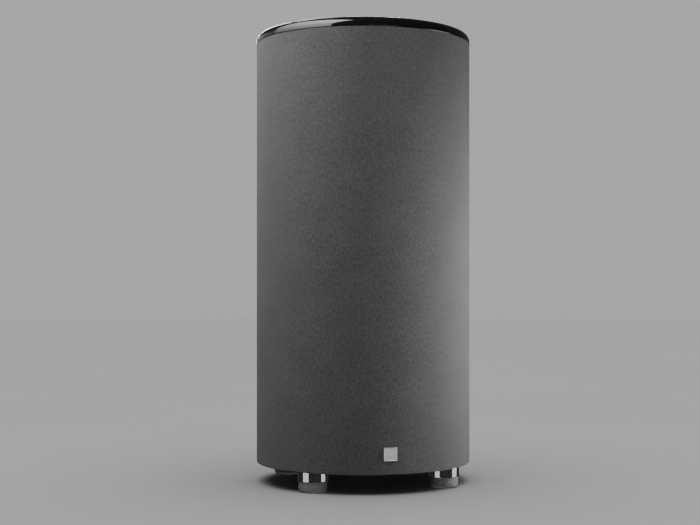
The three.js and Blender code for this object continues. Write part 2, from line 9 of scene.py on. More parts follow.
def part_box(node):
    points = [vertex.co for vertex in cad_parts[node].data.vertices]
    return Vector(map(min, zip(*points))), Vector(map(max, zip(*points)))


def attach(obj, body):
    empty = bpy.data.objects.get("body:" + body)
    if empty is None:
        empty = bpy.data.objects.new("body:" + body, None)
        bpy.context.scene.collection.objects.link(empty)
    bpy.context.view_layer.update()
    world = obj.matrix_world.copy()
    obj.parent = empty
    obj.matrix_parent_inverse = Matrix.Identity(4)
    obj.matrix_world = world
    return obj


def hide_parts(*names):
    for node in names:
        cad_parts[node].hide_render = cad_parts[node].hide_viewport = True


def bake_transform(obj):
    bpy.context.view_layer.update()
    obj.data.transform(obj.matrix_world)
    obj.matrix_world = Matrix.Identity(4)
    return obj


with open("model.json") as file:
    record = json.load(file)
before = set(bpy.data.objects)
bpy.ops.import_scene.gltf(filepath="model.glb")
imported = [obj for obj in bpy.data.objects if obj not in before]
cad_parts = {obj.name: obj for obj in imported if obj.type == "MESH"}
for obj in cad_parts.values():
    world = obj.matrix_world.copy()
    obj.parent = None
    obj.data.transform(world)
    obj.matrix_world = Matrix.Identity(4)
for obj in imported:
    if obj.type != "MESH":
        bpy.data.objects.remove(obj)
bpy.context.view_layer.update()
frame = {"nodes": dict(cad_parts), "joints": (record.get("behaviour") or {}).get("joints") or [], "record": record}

# The looks of a cylinder subwoofer: knit-wrapped tube, gloss cap, flared top port, driver
# facing the floor and an amplifier panel in the back. Metres, +Z up, front towards -Y.

MM = 0.001
TURN = 2 * math.pi
ROOT = "cabinet"
CONE_BODY = "moving_cone"

ROUND = 224  # segments round the cabinet
MEDIUM = 128  # segments round the driver and the port
SMALL = 40  # segments round a screw or a jack


# ---------------------------------------------------------------- outlines

CORNERS = ((1, 1), (-1, 1), (-1, -1), (1, -1))


def eased(points, steps=4):
    """A closed outline of (x, y, radius) points, with each corner turned into a smooth bend."""
    outline = []
    for i, (x, y, radius) in enumerate(points):
        here = Vector((x, y))
        before = Vector(points[i - 1][:2]) - here
        after = Vector(points[(i + 1) % len(points)][:2]) - here
        if radius <= 0:
            outline.append((x, y))
            continue
        half_angle = before.angle(after) / 2
        reach = min(radius / math.tan(half_angle), 0.49 * before.length, 0.49 * after.length)
        start = here + before.normalized() * reach
        end = here + after.normalized() * reach
        for k in range(steps + 1):
            t = k / steps
            point = start.lerp(here, t).lerp(here.lerp(end, t), t)
            outline.append((point.x, point.y))
    return outline


def box_outline(width, height, corner=0.0, centre=(0, 0)):
    """A rounded rectangle about centre, counter-clockwise."""
    cx, cy = centre
    return eased([(cx + sx * width / 2, cy + sy * height / 2, corner) for sx, sy in CORNERS])


def ring_outline(radius, centre=(0, 0), sides=SMALL):
    return [
        (centre[0] + radius * math.cos(TURN * i / sides), centre[1] + radius * math.sin(TURN * i / sides))
        for i in range(sides)
    ]


def arc(centre, radii, start, end, steps):
    """Points along an ellipse, from one angle to another in degrees."""
    angles = [math.radians(start + (end - start) * i / steps) for i in range(steps + 1)]
    return [(centre[0] + radii[0] * math.cos(a), centre[1] + radii[1] * math.sin(a)) for a in angles]


# ---------------------------------------------------------------- shapes
# A shape is (vertices, faces).

def lathe(profile, segments=MEDIUM):
    """A closed profile of (radius, height) points turned about Z."""
    verts, rings = [], []
    for radius, height in profile:
        if radius < 1e-7:
            rings.append([len(verts)] * segments)
            verts.append(Vector((0, 0, height)))
            continue
        rings.append(range(len(verts), len(verts) + segments))
        for i in range(segments):
            angle = TURN * i / segments
            verts.append(Vector((radius * math.cos(angle), radius * math.sin(angle), height)))
    faces = []
    for k, ring in enumerate(rings):
        following = rings[(k + 1) % len(rings)]
        for i in range(segments):
            j = (i + 1) % segments
            face = list(dict.fromkeys((ring[i], ring[j], following[j], following[i])))
            if len(face) > 2:
                faces.append(face)
    return verts, faces


def plate(outline, holes=(), depth=1 * MM, ease=0.0):
    """A flat shape with holes, standing from z = 0 to z = depth, with all its edges eased."""
    curve = bpy.data.curves.new("outline", "CURVE")
    curve.dimensions = "2D"
    curve.fill_mode = "BOTH"
    curve.extrude = depth / 2 - ease
    curve.bevel_depth = ease
    curve.bevel_resolution = 2
    curve.offset = -ease
    for loop in (outline, *holes):
        spline = curve.splines.new("POLY")
        spline.points.add(len(loop) - 1)
        spline.use_cyclic_u = True
        for point, (x, y) in zip(spline.points, loop):
            point.co = (x, y, 0, 1)
    maker = bpy.data.objects.new("outline", curve)
    mesh = bpy.data.meshes.new_from_object(maker)
    form = bmesh.new()
    form.from_mesh(mesh)
    bmesh.ops.remove_doubles(form, verts=form.verts, dist=1e-6)
    form.verts.index_update()
    verts = [v.co + Vector((0, 0, depth / 2)) for v in form.verts]
    faces = [[v.index for v in f.verts] for f in form.faces]
    form.free()
    bpy.data.objects.remove(maker)
    bpy.data.curves.remove(curve)
    bpy.data.meshes.remove(mesh)
    return verts, faces


def swept(rings):
    """A closed band through rings of the same number of points; the last ring joins the first."""
    count = len(rings[0])
    verts = [Vector(point) for ring in rings for point in ring]
    faces = []
    for k in range(len(rings)):
        a, b = k * count, ((k + 1) % len(rings)) * count
        faces += [(a + i, a + (i + 1) % count, b + (i + 1) % count, b + i) for i in range(count)]
    return verts, faces


def mm(points):
    """The same points with millimetres turned into metres."""
    return [tuple(number * MM for number in point) for point in points]


def slab(width, height, depth, corner=0.0, ease=0.0, centre=(0, 0), holes=()):
    """A rounded rectangular plate, with its sizes in millimetres and its holes in metres."""
    outline = box_outline(width * MM, height * MM, corner * MM, (centre[0] * MM, centre[1] * MM))
    return plate(outline, holes, depth * MM, ease * MM)


def moved(shape, matrix):
    return [matrix @ v for v in shape[0]], shape[1]


def lifted(shape, height):
    return moved(shape, Matrix.Translation((0, 0, height)))


def joined(*shapes):
    verts, faces = [], []
    for shape_verts, shape_faces in shapes:
        faces += [[i + len(verts) for i in face] for face in shape_faces]
        verts += shape_verts
    return verts, faces


def facing(place, azimuth=0.0):
    """Stands a flat shape upright at place: its z looks to the front, or turned by azimuth."""
    return (
        Matrix.Translation(place) @ Matrix.Rotation(azimuth, 4, "Z") @ Matrix.Rotation(math.pi / 2, 4, "X")
    )


# ---------------------------------------------------------------- materials

def toned(color, factor):
    return tuple(c * factor for c in color)


class Finish:
    """A procedural material for one slot. Its calls return sockets, so they nest."""

    def __init__(self, name, color, roughness, metallic=0.0, **more):
        self.material = bpy.data.materials.new(name)
        self.material.use_nodes = True
        self.nodes = self.material.node_tree.nodes
        self.shader = self.nodes["Principled BSDF"]
        self.place = self.nodes.new("ShaderNodeTexCoord").outputs["Object"]
        self.set(Base_Color=color, Roughness=roughness, Metallic=metallic, **more)

    def join(self, value, socket):
        if isinstance(value, bpy.types.NodeSocket):
            self.material.node_tree.links.new(value, socket)
        elif isinstance(value, tuple) and len(value) == 3 and socket.type == "RGBA":
            socket.default_value = (*value, 1)
        else:
            socket.default_value = value

    def set(self, **values):
        for name, value in values.items():
            self.join(value, self.shader.inputs[name.replace("_", " ")])
        return self

    def math(self, operation, *values):
        node = self.nodes.new("ShaderNodeMath")
        node.operation = operation
        for value, socket in zip(values, node.inputs):
            self.join(value, socket)
        return node.outputs[0]

    def times(self, first, second):
        return self.math("MULTIPLY", first, second)

    def plus(self, first, second):
        return self.math("ADD", first, second)

    def waves(self, phase):
        """0 to 1 and back for each half turn of phase."""
        return self.math("ABSOLUTE", self.math("SINE", phase))

    def matt(self, value, low, high):
        """Roughness from low to high, as value goes from 0.3 to 0.7."""
        return self.set(Roughness=self.span(value, 0.3, 0.7, low, high))

    def scaled(self, stretch, place=None):
        node = self.nodes.new("ShaderNodeVectorMath")
        node.operation = "MULTIPLY"
        self.join(place or self.place, node.inputs[0])
        node.inputs[1].default_value = stretch
        return node.outputs[0]

    def noise(self, size, detail=2.0, stretch=(1, 1, 1), place=None):
        """Smooth noise, about 0 to 1, with features of a size in metres, longer where stretch is small."""
        node = self.nodes.new("ShaderNodeTexNoise")
        self.join(self.scaled(stretch, place), node.inputs["Vector"])
        node.inputs["Scale"].default_value = 1 / size
        node.inputs["Detail"].default_value = detail
        return node.outputs[0]

    def cells(self, size):
        """Distance to the nearest point of a random scatter."""
        node = self.nodes.new("ShaderNodeTexVoronoi")
        self.join(self.place, node.inputs["Vector"])
        node.inputs["Scale"].default_value = 1 / size
        return node.outputs["Distance"]

    def span(self, value, low, high, to_low=0.0, to_high=1.0):
        """Maps low..high of value to to_low..to_high, held at the ends."""
        node = self.nodes.new("ShaderNodeMapRange")
        for socket, number in zip(node.inputs, (value, low, high, to_low, to_high)):
            self.join(number, socket)
        return node.outputs[0]

    def mix(self, factor, first, second):
        node = self.nodes.new("ShaderNodeMix")
        node.data_type = "RGBA"
        for index, value in ((0, factor), (6, first), (7, second)):
            self.join(value, node.inputs[index])
        return node.outputs[2]

    def bump(self, height, distance, strength=1.0, under=None):
        node = self.nodes.new("ShaderNodeBump")
        node.inputs["Strength"].default_value = strength
        node.inputs["Distance"].default_value = distance
        self.join(height, node.inputs["Height"])
        if under:
            self.join(under, node.inputs["Normal"])
        return node.outputs[0]

    def axes(self):
        node = self.nodes.new("ShaderNodeSeparateXYZ")
        self.join(self.place, node.inputs[0])
        return node.outputs

    def vector(self, x, y, z=0.0):
        node = self.nodes.new("ShaderNodeCombineXYZ")
        for socket, value in zip(node.inputs, (x, y, z)):
            self.join(value, socket)
        return node.outputs[0]

    def edges(self):
        """1 on outside edges, 0 elsewhere."""
        return self.span(self.nodes.new("ShaderNodeNewGeometry").outputs["Pointiness"], 0.54, 0.6)


def along_cloth(f, radius):
    """(distance round the cabinet, distance up the cloth); the cloth turns under at the bottom."""
    x, y, z = f.axes()
    reach = f.math("SQRT", f.plus(f.times(x, x), f.times(y, y)))
    turned_under = f.math("SUBTRACT", reach, radius)
    return f.times(f.math("ARCTAN2", y, x), radius), f.plus(z, turned_under)


def knit():
    """Dark heathered jersey: columns of small V stitches in a yarn of mixed greys."""
    sheen = {"Sheen_Weight": 0.22, "Sheen_Roughness": 0.45}
    f = Finish("knit", (0.1, 0.1, 0.1), 0.92, Specular_IOR_Level=0.25, **sheen)
    column, row, slant = 1.8 * MM, 1.3 * MM, 1.5
    along, height = along_cloth(f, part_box("fabric_sleeve")[1].x)
    u = f.math("DIVIDE", along, column)
    from_middle = f.math("ABSOLUTE", f.math("SUBTRACT", f.math("FRACT", u), 0.5))
    v = f.math("SUBTRACT", f.math("DIVIDE", height, row), f.times(from_middle, slant))
    strand = f.waves(f.times(v, math.pi))
    leg = f.waves(f.times(u, TURN))
    loops = f.times(f.math("POWER", strand, 0.6), f.math("POWER", leg, 0.35))
    yarn = f.vector(along, height)
    flecks = f.noise(1.5 * MM, 3, (1, 0.6, 1), yarn)
    heather = f.noise(4 * MM, 3, (1, 0.5, 1), yarn)
    clouds = f.noise(60 * MM, 2)
    tone = f.plus(f.times(flecks, 0.64), f.times(heather, 0.28))
    tone = f.plus(tone, f.times(clouds, 0.08))
    dark, light = (0.027, 0.027, 0.027), (0.168, 0.1685, 0.169)
    yarns = f.mix(f.span(tone, 0.3, 0.7), dark, light)
    # Painted shade: the yarn is darkened in the gaps between the stitches.
    shaded = f.mix(f.span(loops, 0.0, 0.7), (0.02, 0.02, 0.0205), yarns)
    fuzz = f.bump(f.noise(0.45 * MM, 3), 0.12 * MM, 0.5)
    f.set(Base_Color=shaded)
    f.matt(heather, 0.85, 0.98)
    f.set(Sheen_Tint=(0.95, 0.97, 1.0), Normal=f.bump(loops, 0.4 * MM, 0.8, fuzz))
    return f


def speckled_rubber():
    """Dark foot rubber with a pale fine grain and a rubbed lower edge."""
    f = Finish("foot_rubber", (0.05, 0.05, 0.05), 0.7, Specular_IOR_Level=0.4)
    grain = f.noise(1.5 * MM, 4)
    specks = f.span(f.cells(2.1 * MM), 0.15, 0.34, 1, 0)
    base = f.mix(f.span(grain, 0.35, 0.7), (0.07, 0.07, 0.071), (0.21, 0.21, 0.214))
    color = f.mix(f.times(specks, 0.6), base, (0.44, 0.44, 0.445))
    height = f.axes()[2]
    dust = f.times(f.span(height, 0.5 * MM, 6 * MM, 0.6, 0), f.noise(6 * MM, 3))
    f.set(Base_Color=f.mix(dust, color, (0.2, 0.2, 0.195)))
    f.matt(grain, 0.6, 0.82)
    return f.set(Normal=f.bump(grain, 0.12 * MM, 0.6))


def chrome(name="foot_chrome", color=(0.42, 0.425, 0.435), roughness=0.05):
    """Bright plating with faint turning rings, smears and small scratches."""
    f = Finish(name, color, roughness, 1.0)
    groove = 0.55 * MM
    rings = f.math("SINE", f.times(f.axes()[2], TURN / groove))
    smear = f.noise(18 * MM, 4)
    wiped = f.noise(5 * MM, 5, (1, 1, 0.15))
    tone = f.mix(f.span(smear, 0.35, 0.7), toned(color, 0.88), color)
    f.set(Base_Color=tone, Roughness=f.span(wiped, 0.3, 0.75, roughness, roughness + 0.09))
    return f.set(Normal=f.bump(rings, 0.01 * MM, 0.25))


def lacquer():
    """Deep black polish with a trace of orange peel and a few wipe marks."""
    f = Finish("gloss_black", (0.006, 0.006, 0.007), 0.12, Coat_Weight=1.0, Specular_IOR_Level=0.1)
    peel = f.noise(3.5 * MM, 1)
    wiped = f.noise(40 * MM, 4, (1, 0.2, 1))
    f.set(Base_Color=f.mix(wiped, (0.005, 0.005, 0.006), (0.011, 0.011, 0.012)))
    f.set(Coat_Roughness=f.span(wiped, 0.3, 0.75, 0.02, 0.07))
    return f.set(Normal=f.bump(peel, 0.02 * MM, 0.12))


def moulded(name, color=(0.02, 0.02, 0.022), roughness=0.5, grain_size=0.7 * MM, depth=0.06 * MM):
    """Injection-moulded plastic: spark-eroded grain, slight sheen changes and a few rubbed scuffs."""
    f = Finish(name, color, roughness, Specular_IOR_Level=0.45)
    grain = f.noise(grain_size, 3)
    patches = f.noise(30 * MM, 3)
    scuffs = f.span(f.noise(7 * MM, 5, (1, 1, 0.2)), 0.62, 0.78, 0, 0.3)
    tone = f.mix(f.span(patches, 0.3, 0.7), toned(color, 0.85), toned(color, 1.2))
    f.set(Base_Color=f.mix(scuffs, tone, toned(color, 1.9)))
    f.matt(patches, roughness - 0.06, roughness + 0.08)
    return f.set(Normal=f.bump(grain, depth, 0.5))


def powder_coat(name, color, roughness=0.48, edge_chips_and_highlight=0.5):
    """Baked textured paint over metal; on hard edges, where the noise allows, a paler grey is painted: chipped
    paint and a painted edge highlight together.
    """
    f = Finish(name, color, roughness)
    orange_peel = f.noise(1.1 * MM, 2)
    fine = f.noise(0.35 * MM, 2)
    tone = f.mix(f.noise(25 * MM, 3), toned(color, 0.85), toned(color, 1.25))
    if edge_chips_and_highlight:
        # Painted highlight and chips: sharp edges are painted a paler grey where the noise allows.
        chips_and_edge_highlight = f.times(f.edges(), f.span(f.noise(3 * MM, 4), 0.52, 0.66, 0, edge_chips_and_highlight))
        tone = f.mix(chips_and_edge_highlight, tone, (0.35, 0.35, 0.36))
    f.set(Base_Color=tone)
    f.matt(fine, roughness - 0.07, roughness + 0.08)
    return f.set(Normal=f.bump(orange_peel, 0.09 * MM, 0.55, f.bump(fine, 0.03 * MM, 0.5)))


def soft_rubber():
    """Butyl roll: satin, with faint bloom and a fine skin."""
    f = Finish("driver_rubber", (0.018, 0.018, 0.019), 0.55, Specular_IOR_Level=0.4)
    bloom = f.noise(22 * MM, 4)
    skin = f.noise(0.8 * MM, 3)
    f.set(Base_Color=f.mix(f.span(bloom, 0.4, 0.75), (0.017, 0.017, 0.018), (0.023, 0.023, 0.024)))
    f.matt(bloom, 0.48, 0.56)
    return f.set(Normal=f.bump(skin, 0.05 * MM, 0.4))


def pulp():
    """Pressed black pulp: a matt felt with a few pale fibres lying in it."""
    f = Finish("cone_pulp", (0.02, 0.02, 0.022), 0.75)
    felt = f.noise(0.9 * MM, 5)
    lying = [f.span(f.noise(1.6 * MM, 3, stretch), 0.6, 0.68) for stretch in ((1, 0.2, 1), (0.2, 1, 1))]
    fibres = f.times(f.math("MAXIMUM", *lying), 0.5)
    pressed = f.mix(f.span(felt, 0.3, 0.7), (0.013, 0.013, 0.015), (0.026, 0.026, 0.028))
    f.set(Base_Color=f.mix(fibres, pressed, (0.05, 0.05, 0.053)))
    f.matt(felt, 0.62, 0.82)
    return f.set(Normal=f.bump(f.plus(felt, fibres), 0.14 * MM, 0.6))


def fibreboard(name="cabinet_fibreboard", tint=(1, 1, 1)):
    """Pressed wood fibre, tan and dusty."""
    f = Finish(name, (0.4, 0.28, 0.17), 0.85)
    fibre = f.noise(1.6 * MM, 5, (1, 1, 2))
    dark = tuple(c * t for c, t in zip((0.3, 0.2, 0.11), tint))
    light = tuple(c * t for c, t in zip((0.5, 0.37, 0.23), tint))
    f.set(Base_Color=f.mix(f.span(fibre, 0.3, 0.7), dark, light))
    f.matt(fibre, 0.75, 0.95)
    return f.set(Normal=f.bump(fibre, 0.15 * MM, 0.5))


def brushed(name, color, roughness=0.3, across=(1, 1, 0.02)):
    """Metal brushed in one direction, with handling marks."""
    f = Finish(name, color, roughness, 1.0)
    lines = f.noise(0.35 * MM, 3, across)
    marks = f.noise(9 * MM, 4)
    f.set(Base_Color=f.mix(lines, toned(color, 0.72), color))
    f.matt(marks, roughness - 0.08, roughness + 0.1)
    return f.set(Normal=f.bump(lines, 0.03 * MM, 0.4))


def zinc():
    """Bright zinc with the cloudy crystals of plating."""
    f = Finish("plated_steel", (0.55, 0.56, 0.58), 0.3, 1.0)
    clouds = f.noise(4 * MM, 5)
    f.set(Base_Color=f.mix(clouds, (0.47, 0.48, 0.49), (0.6, 0.61, 0.63)))
    f.set(Roughness=f.span(f.cells(5 * MM), 0.1, 0.8, 0.38, 0.45))
    return f.set(Normal=f.bump(f.noise(0.6 * MM, 2), 0.02 * MM, 0.3))


def ferrite():
    """Pressed and ground ceramic magnet, nearly black, with pores."""
    f = Finish("magnet_ferrite", (0.05, 0.05, 0.054), 0.6)
    pores = f.span(f.cells(1.8 * MM), 0.05, 0.25)
    clay = f.mix(f.noise(8 * MM, 4), (0.04, 0.04, 0.043), (0.075, 0.075, 0.08))
    # Painted shade: the pores are painted near black.
    f.set(Base_Color=f.mix(pores, (0.012, 0.012, 0.013), clay))
    f.matt(f.noise(3 * MM, 3), 0.5, 0.72)
    return f.set(Normal=f.bump(pores, 0.12 * MM, 0.6))


def woven(name, dark, light, pitch=1.3 * MM):
    """Resin-dipped open cloth, woven square."""
    f = Finish(name, light, 0.8, Sheen_Weight=0.2)
    x, y, _ = f.axes()
    warp = f.math("SINE", f.times(x, math.pi / pitch))
    weft = f.math("SINE", f.times(y, math.pi / pitch))
    threads = f.math("ABSOLUTE", f.times(warp, weft))
    stain = f.noise(20 * MM, 3)
    # Painted shade: the cloth is darkened along the lines between the threads.
    f.set(Base_Color=f.mix(threads, dark, f.mix(stain, light, toned(light, 0.7))))
    f.matt(stain, 0.65, 0.9)
    return f.set(Normal=f.bump(threads, 0.3 * MM, 0.7))


def wadding():
    """Loose polyester fill, off-white and fibrous."""
    f = Finish("lining_wadding", (0.7, 0.68, 0.64), 0.95, Sheen_Weight=0.5)
    tufts = f.noise(16 * MM, 6)
    strands = f.noise(2 * MM, 5, (1, 1, 0.2))
    f.set(Base_Color=f.mix(f.span(tufts, 0.3, 0.7), (0.5, 0.48, 0.44), (0.78, 0.76, 0.72)))
    f.matt(strands, 0.9, 1.0)
    return f.set(Normal=f.bump(strands, 1.2 * MM, 0.8, f.bump(tufts, 5 * MM, 0.7)))


def winding():
    """Enamelled copper laid turn by turn."""
    f = Finish("coil_wire", (0.72, 0.33, 0.16), 0.28, 1.0)
    wire = 0.4 * MM
    turns = f.waves(f.times(f.axes()[2], math.pi / wire))
    copper = f.mix(f.noise(6 * MM, 3), (0.6, 0.26, 0.12), (0.8, 0.4, 0.2))
    # Painted shade: the copper is darkened in the grooves between the turns.
    f.set(Base_Color=f.mix(turns, (0.25, 0.09, 0.04), copper))
    f.matt(f.noise(4 * MM, 3), 0.34, 0.4)
    return f.set(Normal=f.bump(turns, 0.18 * MM, 0.9))


def board():
    """Green solder mask over copper tracks, with tinned pads."""
    f = Finish("circuit_board", (0.02, 0.12, 0.05), 0.35, Coat_Weight=0.4)
    lane = 3.2 * MM
    across = f.axes()[0]
    wobble = f.times(f.noise(14 * MM, 0), 20 * MM)
    lanes = f.waves(f.times(f.plus(across, wobble), math.pi / lane))
    tracks = f.span(lanes, 0.72, 0.8)
    pads = f.span(f.cells(5 * MM), 0.1, 0.16, 1, 0)
    mask = f.mix(tracks, (0.012, 0.085, 0.035), (0.03, 0.17, 0.075))
    f.set(Base_Color=f.mix(pads, mask, (0.6, 0.6, 0.58)), Metallic=pads)
    f.set(Roughness=f.span(pads, 0, 1, 0.38, 0.25))
    return f.set(Normal=f.bump(f.plus(tracks, pads), 0.05 * MM, 0.7))


def smoked():
    """Smoked acrylic: near black, very glossy, with fine hairlines."""
    f = Finish("smoked_window", (0.004, 0.004, 0.005), 0.06, Coat_Weight=1.0, Coat_Roughness=0.02)
    hair = f.noise(0.5 * MM, 3, (0.05, 1, 1))
    f.set(Base_Color=f.mix(f.noise(30 * MM, 2), (0.003, 0.003, 0.004), (0.009, 0.009, 0.011)))
    return f.set(Roughness=f.span(hair, 0.4, 0.75, 0.04, 0.12), Normal=f.bump(hair, 0.004 * MM, 0.2))


def gold():
    """Thin gold flash on a turned jack."""
    f = Finish("gold_plate", (0.85, 0.62, 0.28), 0.2, 1.0)
    rubbed = f.noise(2 * MM, 4)
    f.set(Base_Color=f.mix(rubbed, (0.72, 0.5, 0.2), (0.92, 0.7, 0.34)))
    f.matt(rubbed, 0.14, 0.3)
    return f.set(Normal=f.bump(rubbed, 0.02 * MM, 0.3))


def printed():
    """Pale screen print, a little uneven."""
    color = (0.61, 0.62, 0.63)
    f = Finish("screen_print", color, 0.55)
    ink = f.noise(0.8 * MM, 4)
    f.set(Base_Color=f.mix(f.span(ink, 0.3, 0.7), toned(color, 0.82), toned(color, 1.17)))
    f.matt(ink, 0.45, 0.65)
    return f.set(Normal=f.bump(ink, 0.02 * MM, 0.4))


def lamp():
    """A small blue-white indicator behind smoked acrylic."""
    f = Finish("indicator_lamp", (0.05, 0.12, 0.2), 0.3)
    glow = f.span(f.noise(1.2 * MM, 2), 0.2, 0.8, 0.75, 1.0)
    f.set(Emission_Color=f.mix(glow, (0.1, 0.4, 0.9), (0.45, 0.75, 1.0)), Emission_Strength=2.2)
    return f.set(Roughness=f.span(glow, 0.7, 1, 0.25, 0.35), Normal=f.bump(glow, 0.05 * MM, 0.3))


def thread():
    """Dark waxed sewing thread with its twist."""
    f = Finish("seam_thread", (0.06, 0.06, 0.063), 0.6, Sheen_Weight=0.4)
    x, _, z = f.axes()
    lay = 0.5 * MM
    twist = f.math("SINE", f.times(f.plus(z, x), TURN / lay))
    # Painted shade: the thread is darker in the grooves of its twist.
    f.set(Base_Color=f.mix(f.span(twist, -1, 1), (0.03, 0.03, 0.032), (0.1, 0.1, 0.105)))
    return f.set(Roughness=f.span(twist, -1, 1, 0.5, 0.7), Normal=f.bump(twist, 0.06 * MM, 0.6))


FINISHES = {
    "wrap_fabric": knit(),
    "cabinet_fibreboard": fibreboard(),
    "gloss_black": lacquer(),
    "moulded_black": moulded("moulded_black"),
    "control_black": moulded("control_black", (0.016, 0.016, 0.018), 0.36, 0.5 * MM, 0.03 * MM),
    "lining_wadding": wadding(),
    "badge_metal": brushed("badge_metal", (0.4, 0.4, 0.4), 0.42, (0.03, 1, 1)),
    "foot_chrome": chrome(),
    "foot_rubber": speckled_rubber(),
    "cast_basket": powder_coat("cast_basket", (0.035, 0.035, 0.037)),
    "driver_rubber": soft_rubber(),
    "cone_pulp": pulp(),
    "spider_cloth": woven("spider_cloth", (0.12, 0.07, 0.02), (0.52, 0.33, 0.12)),
    "magnet_ferrite": ferrite(),
    "plated_steel": zinc(),
    "black_steel": powder_coat("black_steel", (0.02, 0.02, 0.022), 0.36),
    "coil_former": brushed("coil_former", (0.74, 0.75, 0.77), 0.32),
    "coil_wire": winding(),
    "amp_plate": powder_coat("amp_plate", (0.022, 0.023, 0.025), 0.52, edge_chips_and_highlight=0),
    "smoked_window": smoked(),
    "circuit_board": board(),
}
SATIN = chrome("badge_border", (0.62, 0.62, 0.62), 0.26)
PAINTED_BOARD = fibreboard("painted_fibreboard", (0.05, 0.07, 0.12))
TRAY_STEEL = powder_coat("tray_steel", (0.02, 0.02, 0.022), 0.4, edge_chips_and_highlight=0)
GOLD = gold()
PRINT = printed()
THREAD = thread()
LAMP = lamp()
RED_PLASTIC = moulded("red_insulator", (0.42, 0.018, 0.016), 0.35, 0.5 * MM, 0.02 * MM)
WHITE_PLASTIC = moulded("white_insulator", (0.62, 0.62, 0.6), 0.35, 0.5 * MM, 0.02 * MM)


# ---------------------------------------------------------------- pieces

def add(name, data):
    obj = bpy.data.objects.new(name, data)
    bpy.context.scene.collection.objects.link(obj)
    return obj


def piece(name, shape, slot, body=ROOT, replaces=None, finish=None, smooth=38):
    """A mesh piece in the row frame that rides on a body. Edges sharper than smooth degrees stay crisp."""
    mesh = bpy.data.meshes.new(name)
    mesh.from_pydata([tuple(v) for v in shape[0]], [], [tuple(f) for f in shape[1]])
    form = bmesh.new()
    form.from_mesh(mesh)
    bmesh.ops.recalc_face_normals(form, faces=form.faces)
    form.to_mesh(mesh)
    form.free()
    mesh.shade_smooth()
    mesh.set_sharp_from_angle(angle=math.radians(smooth))
    mesh.materials.append((finish or FINISHES[slot]).material)
    obj = add(name, mesh)
    if replaces:
        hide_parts(replaces)
    if body:
        normals = obj.modifiers.new("normals", "WEIGHTED_NORMAL")
        normals.keep_sharp = True
        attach(obj, body)
    return obj


def middle(node):
    low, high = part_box(node)
    return (low + high) / 2


def slot_of(node):
    return next(s["material_slot"] for s in frame["record"]["subparts"] if s["node"] == node)


def dress(node, finish=None):
    """Gives a CAD node its finish and eases its edges."""
    obj, slot = frame["nodes"][node], slot_of(node)
    obj.data.materials.clear()
    obj.data.materials.append((finish or FINISHES[slot]).material)
    weld = obj.modifiers.new("weld", "WELD")
    weld.merge_threshold = 1e-6
    bevel = obj.modifiers.new("ease", "BEVEL")
    bevel.width = 0.3 * MM
    bevel.segments = 2
    bevel.limit_method = "ANGLE"
    bevel.angle_limit = math.radians(35)


# ---------------------------------------------------------------- cabinet

WRAP = 0.8 * MM
WRAP_BEND = 2.4 * MM
WRAP_UNDER = 17 * MM  # how far the cloth turns under the cabinet
UNDER_SKIN = 0.5 * MM
RIM_LAP = 9.7 * MM  # from the bezel's outer edge to the edge of the opening


def wrap_opening():
    """(half angle, low, high) of the opening for the amplifier, measured from the back."""
    low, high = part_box("amp_bezel")
    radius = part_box("fabric_sleeve")[1].x
    return math.asin((high.x - RIM_LAP) / radius), low.z + RIM_LAP, high.z - RIM_LAP


def fabric_sleeve():
    """The knit wrap: one skin that turns under at the bottom and tucks in below the cap."""
    low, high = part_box("fabric_sleeve")
    radius, bottom, top = high.x, low.z - UNDER_SKIN, high.z - 0.3 * MM
    half, open_low, open_high = wrap_opening()
    tuck = 0.7 * MM
    profile = [(radius - WRAP_UNDER, bottom)]
    profile += arc((radius - WRAP_BEND, bottom + WRAP_BEND), (WRAP_BEND, WRAP_BEND), -90, 0, 6)
    first_open = len(profile)
    profile += [(radius, open_low), (radius, open_high)]
    profile += arc((radius - tuck, top - tuck), (tuck, tuck), 0, 75, 4)
    behind = math.pi / 2
    closed_columns, open_columns = ROUND, 24
    angles = [behind + half + (TURN - 2 * half) * i / closed_columns for i in range(closed_columns)]
    angles += [behind - half + 2 * half * i / open_columns for i in range(open_columns)]
    verts = [Vector((r * math.cos(a), r * math.sin(a), z)) for a in angles for r, z in profile]
    faces = []
    for i in range(len(angles)):
        following = (i + 1) % len(angles)
        for k in range(len(profile) - 1):
            if i >= closed_columns and k == first_open:
                continue
            a, b = i * len(profile) + k, following * len(profile) + k
            faces.append((a, b, b + 1, a + 1))
    obj = piece("knit_wrap", (verts, faces), "wrap_fabric", replaces="fabric_sleeve", smooth=60)
    thickness = obj.modifiers.new("thickness", "SOLIDIFY")
    thickness.thickness = WRAP
    thickness.offset = -1
    obj.modifiers.move(len(obj.modifiers) - 1, 0)


def seam():
    """The join down the back: two turned edges pressed together, and the stitches beside them."""
    low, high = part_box("fabric_sleeve")
    radius = high.x
    _, open_low, open_high = wrap_opening()
    right = mm([(4.2, -0.5, 0), (3.7, 0.05, 0.4), (1.3, 0.5, 0.5), (0.35, 0.42, 0.2), (0, -0.1, 0)])
    left = [(-x, y, r) for x, y, r in right[-2::-1]]
    section = eased(right + left, 3)
    hide = 4 * MM
    stretches = (("lower", low.z, open_low + hide), ("upper", open_high - hide, high.z - 0.8 * MM))
    for name, start, end in stretches:
        rings = [[(x, radius + y, z) for x, y in section] for z in (start, end)]
        count = len(section)
        verts, faces = swept(rings)
        sides = faces[:count]
        caps = [tuple(range(count)), tuple(range(2 * count - 1, count - 1, -1))]
        piece(f"wrap_seam_{name}", (verts, sides + caps), "wrap_fabric", smooth=70)
        piece(f"wrap_stitches_{name}", stitches(radius, start + 2 * MM, end - 2 * MM), "wrap_fabric",
              finish=THREAD)


